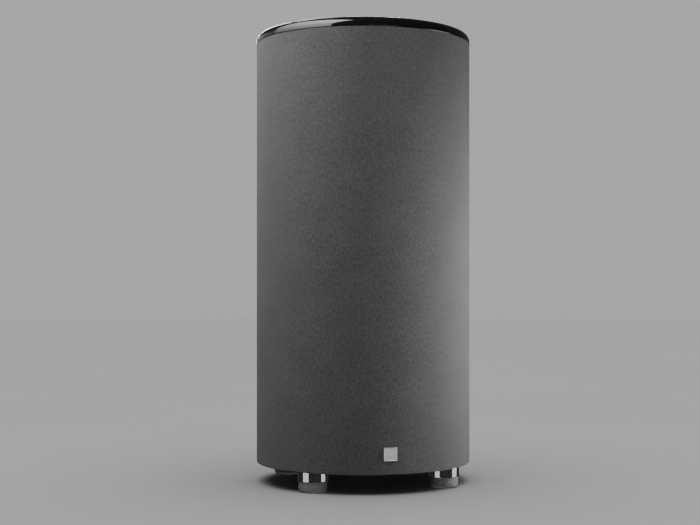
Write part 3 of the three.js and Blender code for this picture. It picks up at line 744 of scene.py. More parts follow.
def stitches(radius, start, end):
    """Two rows of short thread beads beside the seam."""
    pitch, end_z, thin, off_seam, proud = 4.2 * MM, 1.55 * MM, 0.21 * MM, 2.6 * MM, 0.28 * MM
    bead = lathe(eased([(0, -end_z, 0), (thin, -end_z, thin), (thin, end_z, thin), (0, end_z, 0)], 3), 8)
    count = int((end - start) / pitch)
    shapes = []
    for side in (-off_seam, off_seam):
        for i in range(count):
            place = Vector((side, radius + proud, start + (i + 0.5) * pitch))
            shapes.append(moved(bead, Matrix.Translation(place)))
    return joined(*shapes)


def top_cap():
    """The gloss disc, with a broad rounded upper edge and a fine shadow line over the cloth."""
    low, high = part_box("top_cap")
    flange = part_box("port_flare_outer")[1].x + 0.3 * MM
    shelf = high.z - 4.3 * MM
    radius, round_over, under = high.x, 14 * MM, 1.2 * MM
    inner = flange - 8 * MM
    lip = 0.5 * MM
    profile = [(inner, low.z)]
    profile += arc((radius - under, low.z + under), (under, under), -90, 0, 6)
    profile += arc((radius - round_over, high.z - round_over), (round_over, round_over), 0, 90, 28)
    profile += arc((flange + lip, high.z - lip), (lip, lip), 90, 180, 5)
    profile += [(flange, shelf), (inner, shelf)]
    piece("gloss_cap", lathe(profile, ROUND), "gloss_black", replaces="top_cap")


def acoustic_lining():
    """Lumpy wadding stuck to the inside of the tube."""
    low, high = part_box("acoustic_lining")
    outer, columns, rows = high.x, 120, 60
    inner = outer - 19 * MM
    rings = []
    for k in range(rows):
        z = low.z + (high.z - low.z) * k / (rows - 1)
        ring = []
        for i in range(columns):
            angle = TURN * i / columns
            place = Vector((math.cos(angle), math.sin(angle), z * 5)) * 3.2
            squeeze = math.sin(math.pi * k / (rows - 1)) ** 0.3
            r = inner + 9 * MM * (1 - squeeze) + 7 * MM * (0.5 + noise.fractal(place, 1.0, 2.0, 3)) * squeeze
            ring.append((r * math.cos(angle), r * math.sin(angle), z))
        rings.append(ring)
    for z in (high.z, low.z):
        rings.append([(x, y, z) for x, y in ring_outline(outer, sides=columns)])
    piece("wadding_lining", swept(rings), "lining_wadding", replaces="acoustic_lining", smooth=70)


def badge():
    """A plain square metal badge: a raised satin border round a blank brushed face."""
    low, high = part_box("badge")
    side, back = high.x - low.x, high.y
    centre = middle("badge")
    stand = facing((centre.x, back, centre.z))
    border, sunk = 1.6 * MM, 0.7 * MM
    opening = box_outline(side - 2 * border, side - 2 * border, 0.5 * MM)
    frame_shape = plate(box_outline(side, side, 1.1 * MM), [opening[::-1]], back - low.y, 0.6 * MM)
    face = plate(opening, depth=back - low.y - sunk)
    piece("badge_frame", moved(frame_shape, stand), "badge_metal", replaces="badge", finish=SATIN)
    piece("badge_face", moved(face, stand), "badge_metal")


# ---------------------------------------------------------------- port

PORT_R = 44.5 * MM
FLARE_REACH = 31.5 * MM


def flare(flange, top):
    """Profile of a port flare that stands on z = 0 and opens upwards, with its socket for the tube."""
    depth, lip, wall, neck, socket, edge = 40 * MM, 4 * MM, 3.4 * MM, 21 * MM, 18 * MM, 0.5 * MM
    tube = PORT_R + 3.6 * MM
    throat = (PORT_R + FLARE_REACH, neck)
    outer = (throat[0] + 3 * MM, neck)
    profile = [(tube, 0), (tube + wall, 0)]
    profile += arc(outer, (outer[0] - tube - wall, depth - lip), 180, 90, 20)
    profile += arc((flange - edge, top - edge), (edge, edge), 0, 90, 4)
    profile += arc(throat, (FLARE_REACH, top - neck), 90, 180, 40)
    profile += [(PORT_R, socket), (tube, socket)]
    return profile


def port():
    for node in ("port_flare_outer", "port_flare_inner"):
        low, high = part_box(node)
        shape = lathe(flare(high.x, high.z - low.z))
        if node == "port_flare_inner":
            shape = moved(shape, Matrix.Translation((0, 0, high.z)) @ Matrix.Rotation(math.pi, 4, "X"))
        else:
            shape = lifted(shape, low.z)
        piece(node.replace("port", "moulded"), shape, "moulded_black", replaces=node)
    low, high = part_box("port_tube")
    section = [(PORT_R, low.z, 0), (high.x, low.z, 0.4 * MM), (high.x, high.z, 0.4 * MM), (PORT_R, high.z, 0)]
    piece("moulded_port_tube", lathe(eased(section)), "moulded_black", replaces="port_tube")


# ---------------------------------------------------------------- feet

def foot_collar(low, high):
    """A polished cup with crisp edges, and its stud."""
    radius, wall, stud = (high.x - low.x) / 2, 2.4 * MM, 4 * MM
    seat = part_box("bottom_baffle")[0].z
    ceiling, rim = seat - 4 * MM, seat - 0.1 * MM
    section = [
        (0, ceiling, 0),
        (radius - wall, ceiling, 0.5 * MM),
        (radius - wall, low.z, 0.1 * MM),
        (radius, low.z, 0.6 * MM),
        (radius, rim, 0.8 * MM),
        (stud, rim, 0.2 * MM),
        (stud, high.z, 0.6 * MM),
        (0, high.z, 0),
    ]
    return lathe(eased(section, 6), 192)


def foot_pad(low, high):
    """A rubber pad with a soft heel, and the boss that fills the cup."""
    radius, rim = (high.x - low.x) / 2, 20.2 * MM
    boss = radius - 1.1 * MM
    section = [
        (0, low.z, 0),
        (radius, low.z, 8 * MM),
        (radius, rim, 0.8 * MM),
        (boss, rim, 0.2 * MM),
        (boss, high.z, 0.8 * MM),
        (0, high.z, 0),
    ]
    return lathe(eased(section, 5), 96)


def feet():
    for place in ("front_left", "front_right", "rear_left", "rear_right"):
        for part, make, slot, name in (
            ("collar", foot_collar, "foot_chrome", "polished_collar"),
            ("pad", foot_pad, "foot_rubber", "rubber_foot"),
        ):
            node = f"foot_{part}_{place}"
            low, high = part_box(node)
            centre = middle(node)
            shape = moved(make(low, high), Matrix.Translation((centre.x, centre.y, 0)))
            piece(f"{name}_{place}", shape, slot, replaces=node)


# ---------------------------------------------------------------- driver

DRIVER_SCREWS = range(1, 7)
ROLL_R = 129.3 * MM  # outside of the surround's roll
SPIDER_R = 31.7 * MM  # inside of the spider
NECK_R = 32 * MM  # inside of the cone's neck
TRIM_R = 137 * MM
WELL_R = 5.2 * MM  # round the screws in the trim ring
GAP_R = 33.4 * MM  # inside of the top plate
MAGNET_BORE_R = 42 * MM
FORMER_R = 30.6 * MM
WINDING_R = 31.3 * MM
POLE_R = 29.8 * MM
VENT_R = 12 * MM
PLATE_DEPTH = 10.7 * MM  # of the yoke


def bend_with_cone(obj, outer, inner):
    """Bakes obj's transform into its mesh and works out each vertex's share between the basket at radius outer and
    the cone at radius inner; the share is not applied, so obj does not follow the cone.
    """
    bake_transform(obj)
    for vertex in obj.data.vertices:
        share = (outer - vertex.co.xy.length) / (outer - inner)
        share = min(max(share, 0.0), 1.0)


def surround():
    """The rubber half roll between the basket and the cone, with its two glued lands."""
    low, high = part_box("driver_surround")
    cone_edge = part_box("driver_cone")[1].x
    inner, outer, wall = cone_edge + 0.5 * MM, ROLL_R, 1.2 * MM
    centre = ((inner + outer) / 2, high.z - wall / 2)
    half, drop = (outer - inner) / 2, high.z - wall - low.z
    front, back, side = high.z - wall, high.z, wall / 2
    profile = [(cone_edge - 5 * MM, front), (cone_edge - 1.2 * MM, front)]
    profile += arc(centre, (half + side, drop + side), 184, 356, 44)
    profile += [(outer + 1.6 * MM, front), (high.x, front), (high.x, back), (outer + 0.5 * MM, back)]
    profile += arc(centre, (half - side, drop - side), 356, 184, 44)
    profile += [(inner - 0.5 * MM, back), (cone_edge - 5 * MM, back)]
    obj = piece("rubber_surround", lathe(profile, 160), "driver_rubber", body=None,
                replaces="driver_surround", smooth=50)
    bend_with_cone(obj, outer, inner)


def spider():
    """The corrugated cloth that centres the coil."""
    low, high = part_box("driver_spider")
    inner, outer, wall, waves, swing = SPIDER_R, high.x, 0.8 * MM, 6.5, 2.1 * MM
    steps, depth = 150, (low.z + high.z) / 2 - 0.4 * MM
    land = 0.06
    face = []
    for i in range(steps + 1):
        t = i / steps
        fade = min(t / land, (1 - t) / land, 1)
        wave = math.sin(t * waves * TURN) * swing * fade
        face.append((inner + (outer - inner) * t, depth + wave))
    profile = face + [(r, z + wall) for r, z in reversed(face)]
    obj = piece("cloth_spider", lathe(profile, 96), "spider_cloth", body=None, replaces="driver_spider")
    bend_with_cone(obj, outer - 4 * MM, inner + 2 * MM)


def cone():
    """The pressed cone, gently curved, with a rolled outer edge."""
    low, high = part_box("driver_cone")
    neck, wall, steps, curve = NECK_R, 1.5 * MM, 36, 1.12
    rise = high.z - low.z - wall
    face = []
    for i in range(steps + 1):
        t = i / steps
        face.append((neck + (high.x - neck) * t, low.z + rise * (1 - t) ** curve))
    profile = face + [(r, z + wall) for r, z in reversed(face)]
    piece("pressed_cone", lathe(profile, 160), "cone_pulp", body=CONE_BODY, replaces="driver_cone")


def dust_cap():
    """A shallow dome glued over the coil with a bead of black adhesive."""
    low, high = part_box("driver_dust_cap")
    wall = 1.2 * MM
    outer = arc((0, high.z), (high.x, high.z - low.z), 0, -90, 24)
    inner = arc((0, high.z), (high.x - wall, high.z - low.z - wall), -90, 0, 24)
    profile = outer[:-1] + [(0, low.z), (0, low.z + wall)] + inner[1:]
    piece("dust_cap_dome", lathe(profile), "cone_pulp", body=CONE_BODY, replaces="driver_dust_cap")
    bead = arc((high.x + 0.4 * MM, high.z + 0.3 * MM), (1.3 * MM, 1.3 * MM), 0, 330, 11)
    piece("dust_cap_glue", lathe(bead), "driver_rubber", body=CONE_BODY)


def trim_ring():
    """The rubber ring over the basket's flange, with wells for the screws."""
    low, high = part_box("driver_trim_ring")
    wells = [ring_outline(WELL_R, middle(f"driver_screw_{i}").xy, 28)[::-1] for i in DRIVER_SCREWS]
    holes = [ring_outline(TRIM_R, sides=160)[::-1], *wells]
    shape = plate(ring_outline(high.x, sides=160), holes, high.z - low.z, 0.7 * MM)
    piece("rubber_trim_ring", lifted(shape, low.z), "driver_rubber", replaces="driver_trim_ring")


def ring_piece(node, inner, name, body=ROOT, ease=0.6 * MM):
    """A plain machined ring in the place of a CAD node."""
    low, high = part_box(node)
    section = [(inner, low.z, ease), (high.x, low.z, ease), (high.x, high.z, ease), (inner, high.z, ease)]
    piece(name, lathe(eased(section)), slot_of(node), body=body, replaces=node)


def motor():
    """Plate, magnet, coil and the yoke with its vented pole."""
    ring_piece("driver_top_plate", GAP_R, "steel_top_plate")
    ring_piece("driver_magnet", MAGNET_BORE_R, "ferrite_magnet", ease=1.4 * MM)
    ring_piece("voice_coil_former", FORMER_R, "aluminium_former", CONE_BODY, 0.1 * MM)
    ring_piece("voice_coil_winding", WINDING_R, "copper_winding", CONE_BODY, 0.3 * MM)
    low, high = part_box("driver_yoke")
    section = [
        (VENT_R, low.z, 2.5 * MM),
        (POLE_R, low.z, 1 * MM),
        (POLE_R, high.z - PLATE_DEPTH, 0.3 * MM),
        (high.x, high.z - PLATE_DEPTH, 1 * MM),
        (high.x, high.z, 3 * MM),
        (VENT_R, high.z, 2.5 * MM),
    ]
    piece("vented_yoke", lathe(eased(section)), "black_steel", replaces="driver_yoke")


def socket_screw(head, head_height, shank, length):
    """A socket-head screw standing on z = 0, head first."""
    hexagon = ring_outline(head * 0.52, sides=6)[::-1]
    cup = plate(ring_outline(head), [hexagon], head_height, 0.35 * MM)
    floor = lifted(plate(ring_outline(head * 0.62, sides=24), depth=head_height * 0.35), head_height * 0.5)
    turn, cut = 0.5 * MM, 0.28 * MM
    section = [(0, head_height - 0.2 * MM)]
    for i in range(int(length / turn)):
        z = head_height + i * turn
        section += [(shank, z), (shank - cut, z + turn / 2)]
    section.append((0, head_height + length))
    return joined(cup, floor, lathe(section, 20))


def driver_screws():
    head_height = 4 * MM
    for i in DRIVER_SCREWS:
        node = f"driver_screw_{i}"
        low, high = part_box(node)
        centre = middle(node)
        shape = socket_screw(4.4 * MM, head_height, 2.5 * MM, high.z - low.z - head_height)
        shape = moved(shape, Matrix.Translation((centre.x, centre.y, low.z)))
        piece(f"socket_screw_{i}", shape, "black_steel", replaces=node)


def driver():
    surround()
    spider()
    cone()
    dust_cap()
    trim_ring()
    motor()
    driver_screws()


# ---------------------------------------------------------------- amplifier
# Flat shapes here are drawn as seen from behind, x to the right and y up, with z standing out.

PANEL_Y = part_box("amp_faceplate")[1].y
PANEL = middle("amp_faceplate")
PANEL_T = 3 * MM
FLANGE_GAP = 0.3 * MM  # between the plate and what is screwed or clipped to it
KEY_HOLE_R = 6.6 * MM
JACK_HOLE_R = 6.7 * MM
TRIGGER_HOLE_R = 3.7 * MM
SCREW_HOLE_R = 2.4 * MM
USB_DEPTH = 12.4 * MM
PLATE_SCREWS = range(1, 5)
JACK_PITCH = 10.5 * MM
JACKS = [(sx * JACK_PITCH, sy * JACK_PITCH) for sx in (-1, 1) for sy in (1, -1)]
BUTTONS = ("minus", "select", "plus")


def panel_xy(place):
    """A row-frame place as (x, y) on the panel, from the panel's centre, seen from behind."""
    return (PANEL.x - place.x, place.z - PANEL.z)


def on_panel(shape, node=None, out=0.0, offset=(0, 0)):
    """Stands a flat shape on the panel, over a CAD node's middle, out metres proud of its face."""
    centre = middle(node) if node else PANEL
    place = (centre.x - offset[0], PANEL_Y + out, centre.z + offset[1])
    return moved(shape, facing(place, math.pi))


def panel_piece(name, shape, slot, node=None, out=0.0, offset=(0, 0), **more):
    piece(name, on_panel(shape, node, out, offset), slot, **more)


def housing(flange, walls, floor, floor_height):
    """A socket's flange on the panel, the walls behind it and the floor between them."""
    return joined(lifted(flange, FLANGE_GAP), lifted(walls, -15.6 * MM), lifted(floor, floor_height))


def bezel():
    """The moulded frame: a rim that follows the cylinder and a well down to the seat."""
    low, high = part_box("amp_bezel")
    crown, lap, seat = high.y, high.y - 1.8 * MM, PANEL_Y - PANEL_T - 0.3 * MM
    width, height = high.x - low.x, high.z - low.z
    well_w, well_h = 172 * MM, 272 * MM
    body_w, body_h = width - 21 * MM, height - 21 * MM
    window_w, window_h = 148 * MM, 248 * MM

    def loop(w, h, corner, radius=None, y=None):
        """A rounded rectangle lying on a cylinder of that radius, or at a fixed y."""
        points, steps = [], 20
        for k, (sx, sy) in enumerate(CORNERS):
            cx, cy = sx * (w / 2 - corner), sy * (h / 2 - corner)
            points += arc((cx, cy), (corner, corner), 90 * k, 90 * (k + 1), 8)
            next_x, next_y = CORNERS[(k + 1) % 4]
            next_centre = (next_x * (w / 2 - corner), next_y * (h / 2 - corner))
            last, first = points[-1], arc(next_centre, (corner, corner), 90 * (k + 1), 90 * (k + 1), 1)[0]
            points += [tuple(a + (b - a) * i / steps for a, b in zip(last, first)) for i in range(1, steps)]
        return [(x, y if radius is None else math.sqrt(radius ** 2 - x ** 2), PANEL.z + z) for x, z in points]

    soft = 0.8 * MM
    rings = [
        loop(width, height, 14 * MM, lap),
        loop(width, height, 14 * MM, crown - soft),
        loop(width - 0.3 * soft, height - 0.3 * soft, 14 * MM, crown - 0.4 * soft),
        loop(width - soft, height - soft, 13.6 * MM, crown - 0.08 * soft),
        loop(width - 2 * soft, height - 2 * soft, 13.2 * MM, crown),
        loop(well_w + 2 * soft, well_h + 2 * soft, 7 * MM, crown),
        loop(well_w + soft, well_h + soft, 6.6 * MM, crown - 0.08 * soft),
        loop(well_w + 0.3 * soft, well_h + 0.3 * soft, 6.3 * MM, crown - 0.4 * soft),
        loop(well_w, well_h, 6 * MM, crown - soft),
        loop(well_w, well_h, 6 * MM, y=seat + 0.3 * MM),
        loop(well_w - 0.3 * MM, well_h - 0.3 * MM, 5.8 * MM, y=seat),
        loop(window_w, window_h, 4 * MM, y=seat),
        loop(window_w, window_h, 4 * MM, y=low.y),
        loop(body_w, body_h, 9 * MM, y=low.y),
        loop(body_w, body_h, 9 * MM, lap),
    ]
    piece("moulded_bezel", swept(rings), "moulded_black", replaces="amp_bezel", smooth=45)


def slot_outline(node, width, height, corner):
    """A hole for a node, with its sizes in millimetres."""
    return box_outline(width * MM, height * MM, corner * MM, panel_xy(middle(node)))


def faceplate():
    """The amplifier's plate, with a rebate for the window and a hole for each control and socket."""
    low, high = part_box("amp_faceplate")
    screws = [ring_outline(SCREW_HOLE_R, panel_xy(middle(f"plate_screw_{i}")), 20) for i in PLATE_SCREWS]
    jack_x, jack_y = panel_xy(middle("line_jack_block"))
    openings = [ring_outline(KEY_HOLE_R, panel_xy(middle(f"button_{b}"))) for b in BUTTONS]
    openings += [ring_outline(JACK_HOLE_R, (jack_x + x, jack_y + y)) for x, y in JACKS]
    openings += [
        ring_outline(TRIGGER_HOLE_R, panel_xy(middle("trigger_jack"))),
        slot_outline("usb_port", 14.2, 6.8, 0.8),
        slot_outline("mode_switch_body", 11.4, 5.2, 0.4),
        slot_outline("power_inlet", 28, 20.6, 2),
        slot_outline("rocker_frame", 19.8, 29.8, 0.4),
    ]
    outline = box_outline(high.x - low.x, high.z - low.z, 5.5 * MM)
    rebate = 1.6 * MM
    back_window = slot_outline("indicator_window", 100, 30, 2)
    front_window = slot_outline("indicator_window", 112.6, 40.6, 3)
    flip = [h[::-1] for h in openings + screws]
    front = plate(outline, [front_window[::-1], *flip], rebate, 0.25 * MM)
    back = plate(outline, [back_window[::-1], *flip], PANEL_T - rebate + 0.3 * MM, 0.05 * MM)
    panel_piece("amp_plate_front", front, "amp_plate", out=-rebate, replaces="amp_faceplate")
    panel_piece("amp_plate_back", back, "amp_plate", out=-PANEL_T)


def window():
    """The smoked display with a row of lamps behind it."""
    node = "indicator_window"
    low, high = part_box(node)
    pane = plate(box_outline(high.x - low.x, high.z - low.z, 2.7 * MM), depth=high.y - low.y, ease=0.35 * MM)
    panel_piece("smoked_pane", pane, "smoked_window", node, out=-1.3 * MM, replaces=node)
    dots = [plate(ring_outline(0.9 * MM, ((i - 2) * 9 * MM, 0), 20), depth=0.12 * MM) for i in range(5)]
    panel_piece("indicator_lamps", joined(*dots), "smoked_window", node, finish=LAMP)


def line_jacks():
    """Four phono jacks on one moulded block, ringed red and white."""
    node = "line_jack_block"
    deep = 12
    behind = PANEL_T + deep * MM + FLANGE_GAP
    panel_piece("jack_block", slab(46, 46, deep, 2, 0.4), "moulded_black", node, out=-behind, replaces=node)
    collar = [(3.4, -4, 0), (6.2, -4, 0), (6.2, 1.2, 0.5), (4.7, 1.2, 0.2), (4.7, 0.5, 0.2), (3.4, 0.5, 0)]
    shell = [(3.25, -3, 0), (4.2, -3, 0), (4.2, 2.2, 0.2), (4.05, 2.6, 0.2), (4.05, 8.2, 0.3), (3.8, 9, 0.2),
             (3.25, 9, 0.2)]
    core = [(0.9, -3, 0), (3.2, -3, 0), (3.2, 7.6, 0.4), (0.9, 7.6, 0.3)]
    for i, (x, y) in enumerate(JACKS):
        color = WHITE_PLASTIC if x < 0 else RED_PLASTIC
        for name, section, slot, finish in (
            ("collar", collar, "moulded_black", color),
            ("shell", shell, "plated_steel", GOLD),
            ("core", core, "moulded_black", color),
        ):
            shape = lathe(eased(mm(section)), SMALL)
            panel_piece(f"jack_{name}_{i + 1}", shape, slot, node, offset=(x, y), finish=finish)


def small_sockets():
    """The trigger jack with its nut, the USB port and the mode switch."""
    hexagon = ring_outline(5.4 * MM, sides=6)
    nut = plate(hexagon, [ring_outline(3.2 * MM)[::-1]], 2 * MM, 0.35 * MM)
    bush = lathe(eased(mm([(1.8, -9, 0), (3.3, -9, 0), (3.3, 2.6, 0.4), (1.8, 2.6, 0.4)])), SMALL)
    node = "trigger_jack"
    panel_piece("trigger_nut", nut, "plated_steel", node, out=FLANGE_GAP, replaces=node)
    panel_piece("trigger_bush", bush, "plated_steel", node)

    mouth = [box_outline(12 * MM, 4.6 * MM, 0.5 * MM)[::-1]]
    shell = slab(13.4, 6, 13, 0.9, 0.12, holes=mouth)
    tongue = slab(9.6, 1.5, 11, 0.2, 0.1)
    node = "usb_port"
    panel_piece("usb_shell", shell, "plated_steel", node, out=-USB_DEPTH, replaces=node)
    panel_piece("usb_tongue", tongue, "control_black", node, out=-USB_DEPTH, offset=(0, 0.7 * MM),
                finish=WHITE_PLASTIC)

    knob = slab(4.4, 4.4, 11, 0.4, 0.2)
    ribs = [lifted(slab(0.8, 3.8, 1, 0.2, 0.2, (x, 0)), 10.6 * MM) for x in (-1.5, 0, 1.5)]
    node = "mode_slider"
    panel_piece("mode_knob", joined(knob, *ribs), "control_black", node, out=-9 * MM, body="mode_lever",
                replaces=node)


def inlet():
    """The power inlet: a flange, a deep socket with two clipped corners, and three blades."""
    node = "power_inlet"
    w, h, clip = 23.4 * MM, 15.8 * MM, 4.5 * MM
    r = 0.8 * MM
    mouth = eased([
        (w / 2, -h / 2, r), (w / 2, h / 2 - clip, r), (w / 2 - clip, h / 2, r),
        (clip - w / 2, h / 2, r), (-w / 2, h / 2 - clip, r), (-w / 2, -h / 2, r),
    ])
    flange = slab(48, 27, 2.5, 5, 0.5, holes=[mouth[::-1]])
    walls = slab(27.2, 19.8, 16, 1.5, 0.05, holes=[mouth[::-1]])
    floor = slab(27, 19.6, 12, 1.5)
    panel_piece("inlet_shell", housing(flange, walls, floor, -27 * MM), "moulded_black", node, replaces=node)
    blades = [slab(2, 4.4, 14, 0.5, 0.3, place) for place in ((-7, -2), (7, -2), (0, 3))]
    panel_piece("inlet_blades", joined(*blades), "plated_steel", node, out=-16 * MM)
    head = lathe(eased(mm([(0, 0, 0), (2.6, 0, 0.2), (2.3, 0.9, 0.5), (0, 1.2, 0)])), SMALL)
    cross = [slab(width, height, 0.35, 0.1) for width, height in ((2.6, 0.5), (0.5, 2.6))]
    for i, ear in enumerate([(-20.3 * MM, 0), (20.3 * MM, 0)]):
        panel_piece(f"inlet_rivet_{i + 1}", head, "black_steel", node, 2.75 * MM, ear)
        panel_piece(f"inlet_recess_{i + 1}", joined(*cross), "moulded_black", node, 3.68 * MM, ear)


ROCKER_TILT = math.radians(7.5)


def rocker():
    """The rocker switch in its frame, resting at off, with its two marks."""
    node = "rocker_frame"
    mouth = box_outline(16 * MM, 26 * MM, 0.6 * MM)[::-1]
    frame_top = slab(24, 34, 2.1, 2.4, 0.5, holes=[mouth])
    walls = slab(19, 29, 16, 0.8, 0.05, holes=[mouth])
    floor = slab(18.8, 28.8, 4.4, 0.8)
    shape = housing(frame_top, walls, floor, -20 * MM)
    panel_piece("rocker_surround", shape, "moulded_black", node, replaces=node)

    joint = next(j for j in frame["joints"] if j["name"] == "power_tilt")
    pivot = Vector(joint["pos_m"])
    face = [(-5, -3, 1), (-4, -5, 1), (2, -11.2, 1), (8, -11.6, 1), (6, 0, 16), (8, 11.6, 1), (2, 11.2, 1),
            (-4, 5, 1), (-5, 3, 1)]
    width, reach, slope = 15.2 * MM, 7.6 * MM, math.atan2(2, 11.6)
    key = plate(eased(mm(face), 8), depth=width, ease=0.45 * MM)
    across = Matrix.Rotation(-ROCKER_TILT, 4, "X")
    lay = Matrix(((0, 0, 1, 0), (1, 0, 0, 0), (0, 1, 0, 0), (0, 0, 0, 1)))
    place = Matrix.Translation(pivot) @ across @ lay @ Matrix.Translation((0, 0, -width / 2))
    piece("rocker_key", moved(key, place), "control_black", body="power_key", replaces="power_rocker")
    bar = slab(1.1, 4.2, 0.2, 0.2)
    circle = plate(ring_outline(2.1 * MM), [ring_outline(1.2 * MM)[::-1]], 0.2 * MM)
    for name, mark, side in (("on", bar, 1), ("off", circle, -1)):
        lean = Matrix.Rotation(-side * slope, 4, "X")
        stand = Matrix.Translation((0, 7.22 * MM, side * reach)) @ lean @ facing((0, 0, 0), math.pi)
        shape = moved(mark, Matrix.Translation(pivot) @ across @ stand)
        piece(f"rocker_mark_{name}", shape, "control_black", body="power_key", finish=PRINT)


def buttons():
    """Three round keys, domed, with a raised mark on each."""
    stand, sunk = 2.2 * MM, 0.12 * MM
    section = [(0, -14.2, 0), (2, -14.2, 0.2), (2, -4.8, 0.2), (7.6, -4.8, 0.2), (7.6, -3.5, 0.2),
               (6.1, -3.5, 0.2), (6.1, 1.7, 0.9), (3.4, 2.2, 3), (0, 2.05, 0)]
    key = lathe(eased(mm(section), 6), 56)
    bar = slab(5.6, 1.1, 0.3, 0.3, 0.08)
    post = slab(1.1, 5.6, 0.3, 0.3, 0.08)
    dot = plate(ring_outline(2.2 * MM), [ring_outline(1.4 * MM)[::-1]], 0.3 * MM, 0.08 * MM)
    marks = {"minus": bar, "select": dot, "plus": joined(bar, post)}
    for name, mark in marks.items():
        node, body = f"button_{name}", f"{name}_key"
        panel_piece(f"key_{name}", key, "control_black", node, body=body, replaces=node)
        panel_piece(f"key_mark_{name}", mark, "control_black", node, stand - sunk, body=body, finish=PRINT)


def plate_screws():
    head_height = 2.4 * MM
    turned_round = Matrix.Translation((0, 0, head_height + FLANGE_GAP)) @ Matrix.Rotation(math.pi, 4, "X")
    shape = moved(socket_screw(4 * MM, head_height, 2 * MM, 8.6 * MM), turned_round)
    for i in PLATE_SCREWS:
        node = f"plate_screw_{i}"
        panel_piece(f"panel_screw_{i}", shape, "black_steel", node, replaces=node)


def panel_lines():
    """Thin printed frames that group the sockets."""
    thin, height = 0.45, 54
    groups = (
        ("inputs", "line_jack_block", 54, 0),
        ("data", "trigger_jack", 24, -12),
        ("mode", "mode_slider", 26, 0),
    )
    for name, node, width, drop in groups:
        hole = box_outline((width - 2 * thin) * MM, (height - 2 * thin) * MM, 2.1 * MM)[::-1]
        ring = slab(width, height, 0.06, 2.5, holes=[hole])
        panel_piece(f"panel_line_{name}", ring, "amp_plate", node, offset=(0, drop * MM), finish=PRINT)


def amplifier():
    bezel()
    faceplate()
    window()
    line_jacks()
    small_sockets()
    inlet()
    rocker()
    buttons()
    plate_screws()
    panel_lines()


# ---------------------------------------------------------------- stage, lights, camera

FLOOR_ALBEDO = 0.62
FLOOR_BOUNCE = 0.14  # what the floor throws back at the object
ROOM_SEEN = 0.4  # how bright the room is to the camera, and the floor with it
ROOM_LIGHT = 0.105  # how bright it is as a light on everything
ROOM_MIRRORED = 0.075  # how bright it is in polished parts


def stage_floor():
    """A wide pale floor that can't be seen from below, throws little light back and isn't mirrored."""
    radius = 14.0
    mesh = bpy.data.meshes.new("floor")
    mesh.from_pydata([(x, y, 0) for x, y in ring_outline(radius, sides=96)], [], [tuple(range(96))])
    f = Finish("floor", (FLOOR_ALBEDO,) * 3, 0.7, Specular_IOR_Level=0.2)
    pale = f.mix(f.noise(0.9, 3), (FLOOR_ALBEDO - 0.02,) * 3, (FLOOR_ALBEDO + 0.02,) * 3)
    to_camera = f.nodes.new("ShaderNodeLightPath").outputs["Is Camera Ray"]
    f.set(Base_Color=f.mix(to_camera, (FLOOR_BOUNCE,) * 3, pale))
    clear = f.nodes.new("ShaderNodeBsdfTransparent").outputs[0]
    both = f.nodes.new("ShaderNodeMixShader")
    f.join(f.nodes.new("ShaderNodeNewGeometry").outputs["Backfacing"], both.inputs[0])
    f.join(f.shader.outputs[0], both.inputs[1])
    f.join(clear, both.inputs[2])
    f.join(both.outputs[0], f.nodes["Material Output"].inputs["Surface"])
    mesh.materials.append(f.material)
    floor = add("floor", mesh)
    floor.visible_glossy = False
    return floor


def fading(box, along, up):
    """Makes a rectangular light stronger from one end to the other, and from its foot to its head."""
    light = box.data
    light.use_nodes = True
    nodes, links = light.node_tree.nodes, light.node_tree.links
    place = nodes.new("ShaderNodeSeparateXYZ")
    links.new(nodes.new("ShaderNodeNewGeometry").outputs["Parametric"], place.inputs[0])
    both = nodes.new("ShaderNodeMath")
    both.operation = "MULTIPLY"
    for i, (first, last) in enumerate((along, up)):
        share = nodes.new("ShaderNodeMapRange")
        links.new(place.outputs[i], share.inputs[0])
        share.inputs[3].default_value = first
        share.inputs[4].default_value = last
        links.new(share.outputs[0], both.inputs[i])
    links.new(both.outputs[0], nodes["Emission"].inputs["Strength"])


def linked(name, obj, state):
    """The objects that a lamp acts on: only obj with INCLUDE, all but obj with EXCLUDE."""
    group = bpy.data.collections.new(name)
    group.objects.link(obj)
    group.collection_objects[0].light_linking.link_state = state
    return group


def softbox(name, azimuth, distance, height, size, power, aim, floor, spread=180):
    """A rectangular light aimed at the object's axis, that leaves the floor alone. Azimuth 0 is in front."""
    light = bpy.data.lights.new(name, "AREA")
    light.shape = "RECTANGLE"
    light.size, light.size_y = size
    light.energy = power
    light.spread = math.radians(spread)
    box = add(name, light)
    angle = math.radians(azimuth)
    box.location = (math.sin(angle) * distance, -math.cos(angle) * distance, height)
    box.rotation_euler = (box.location - Vector((0, 0, aim))).to_track_quat("Z", "Y").to_euler()
    box.visible_camera = False
    box.light_linking.receiver_collection = linked(name, floor, "EXCLUDE")
    return box


def through_floor(lamp, floor):
    """Lets a lamp that stands under the floor shine through it."""
    lamp.light_linking.blocker_collection = linked(lamp.name + "_blockers", floor, "EXCLUDE")


def floor_light(floor):
    """Soft light from straight above that makes the floor as bright as the room."""
    light = bpy.data.lights.new("over_floor", "SUN")
    light.energy = math.pi * (ROOM_SEEN / FLOOR_ALBEDO - ROOM_LIGHT)
    light.angle = math.radians(75)
    lamp = add("over_floor", light)
    lamp.light_linking.receiver_collection = linked("over_floor", floor, "INCLUDE")


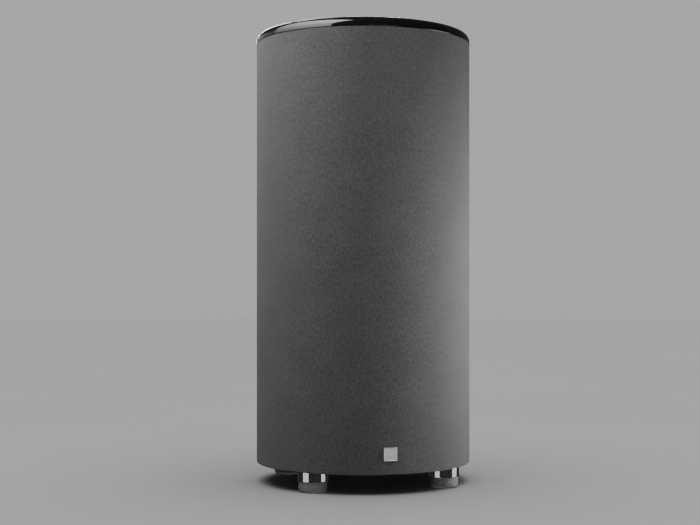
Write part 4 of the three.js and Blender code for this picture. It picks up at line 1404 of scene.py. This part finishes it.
def surroundings():
    """A pale room, of one brightness to the camera, another as a light and a third in polished parts."""
    world = bpy.data.worlds.new("studio")
    world.use_nodes = True
    nodes, links = world.node_tree.nodes, world.node_tree.links
    ray = nodes.new("ShaderNodeLightPath").outputs
    glow = nodes["Background"].inputs["Strength"]
    glow.default_value = ROOM_LIGHT
    for kind, brightness in (("Is Camera Ray", ROOM_SEEN), ("Is Glossy Ray", ROOM_MIRRORED)):
        choice = nodes.new("ShaderNodeMix")
        links.new(ray[kind], choice.inputs[0])
        choice.inputs[2].default_value = ROOM_LIGHT
        choice.inputs[3].default_value = brightness
        links.new(choice.outputs[0], glow)
        glow = choice.inputs[2]
    nodes["Background"].inputs["Color"].default_value = (1, 1, 1, 1)
    bpy.context.scene.world = world
    bpy.context.scene.view_settings.look = "AgX - Medium High Contrast"


def lights(floor):
    """Panels high on the left and low on the right shape the cylinder; two low ones shine in the feet."""
    left = softbox("left", -80, 0.95, 1.63, (1.71, 1.42), 26.5, 1.15, floor, spread=130)
    fading(left, (0.4, 1.6), (0.5, 1.5))
    softbox("left_back", -138, 1.35, 1.1, (1.1, 0.35), 0.5, 0.85, floor)
    softbox("right", 72, 0.85, 0.4, (0.45, 0.5), 4.4, 0.36, floor, spread=105)
    softbox("front", 8, 2.6, 0.5, (1.4, 0.5), 22, 0.4, floor)
    softbox("low_left", -64, 1.5, 0, (1.1, 0.9), 4, 0, floor)
    softbox("low_right", 68, 1.5, 0, (1.1, 0.9), 4, 0, floor)
    softbox("back", 171, 2.0, 1.0, (0.6, 1.0), 8, 0.45, floor, spread=80)
    through_floor(softbox("below", 0, 0, -1.3, (0.28, 0.28), 5, 0.05, floor), floor)
    floor_light(floor)


CAMERA_AZIMUTH = -13.75
CAMERA_DISTANCE = 2.64
CAMERA_HEIGHT = 0.3805
CAMERA_LENS = 68.2
CAMERA_SHIFT = (-0.0187, 0.037)


def camera():
    """A level camera, with its lens shifted so that the cabinet fills the frame as it should."""
    data = bpy.data.cameras.new("camera")
    data.lens = CAMERA_LENS
    data.sensor_width = 36
    data.shift_x, data.shift_y = CAMERA_SHIFT
    obj = add("camera", data)
    azimuth = math.radians(CAMERA_AZIMUTH)
    obj.location = (math.sin(azimuth) * CAMERA_DISTANCE, -math.cos(azimuth) * CAMERA_DISTANCE, CAMERA_HEIGHT)
    obj.rotation_euler = (math.pi / 2, 0, azimuth)
    bpy.context.scene.camera = obj


# ---------------------------------------------------------------- assembly

fabric_sleeve()
seam()
top_cap()
acoustic_lining()
badge()
port()
feet()
driver()
amplifier()

DRESSED = ("top_bulkhead", "driver_basket", "driver_terminals", "input_board",
           "power_board", "heat_sink", "transformer", "reservoir_capacitor", "mode_switch_body")
for cad_node in DRESSED:
    dress(cad_node)
dress("bottom_baffle", finish=PAINTED_BOARD)
dress("cabinet_tube", finish=PAINTED_BOARD)
dress("amp_housing", finish=TRAY_STEEL)

surroundings()
lights(stage_floor())
camera()
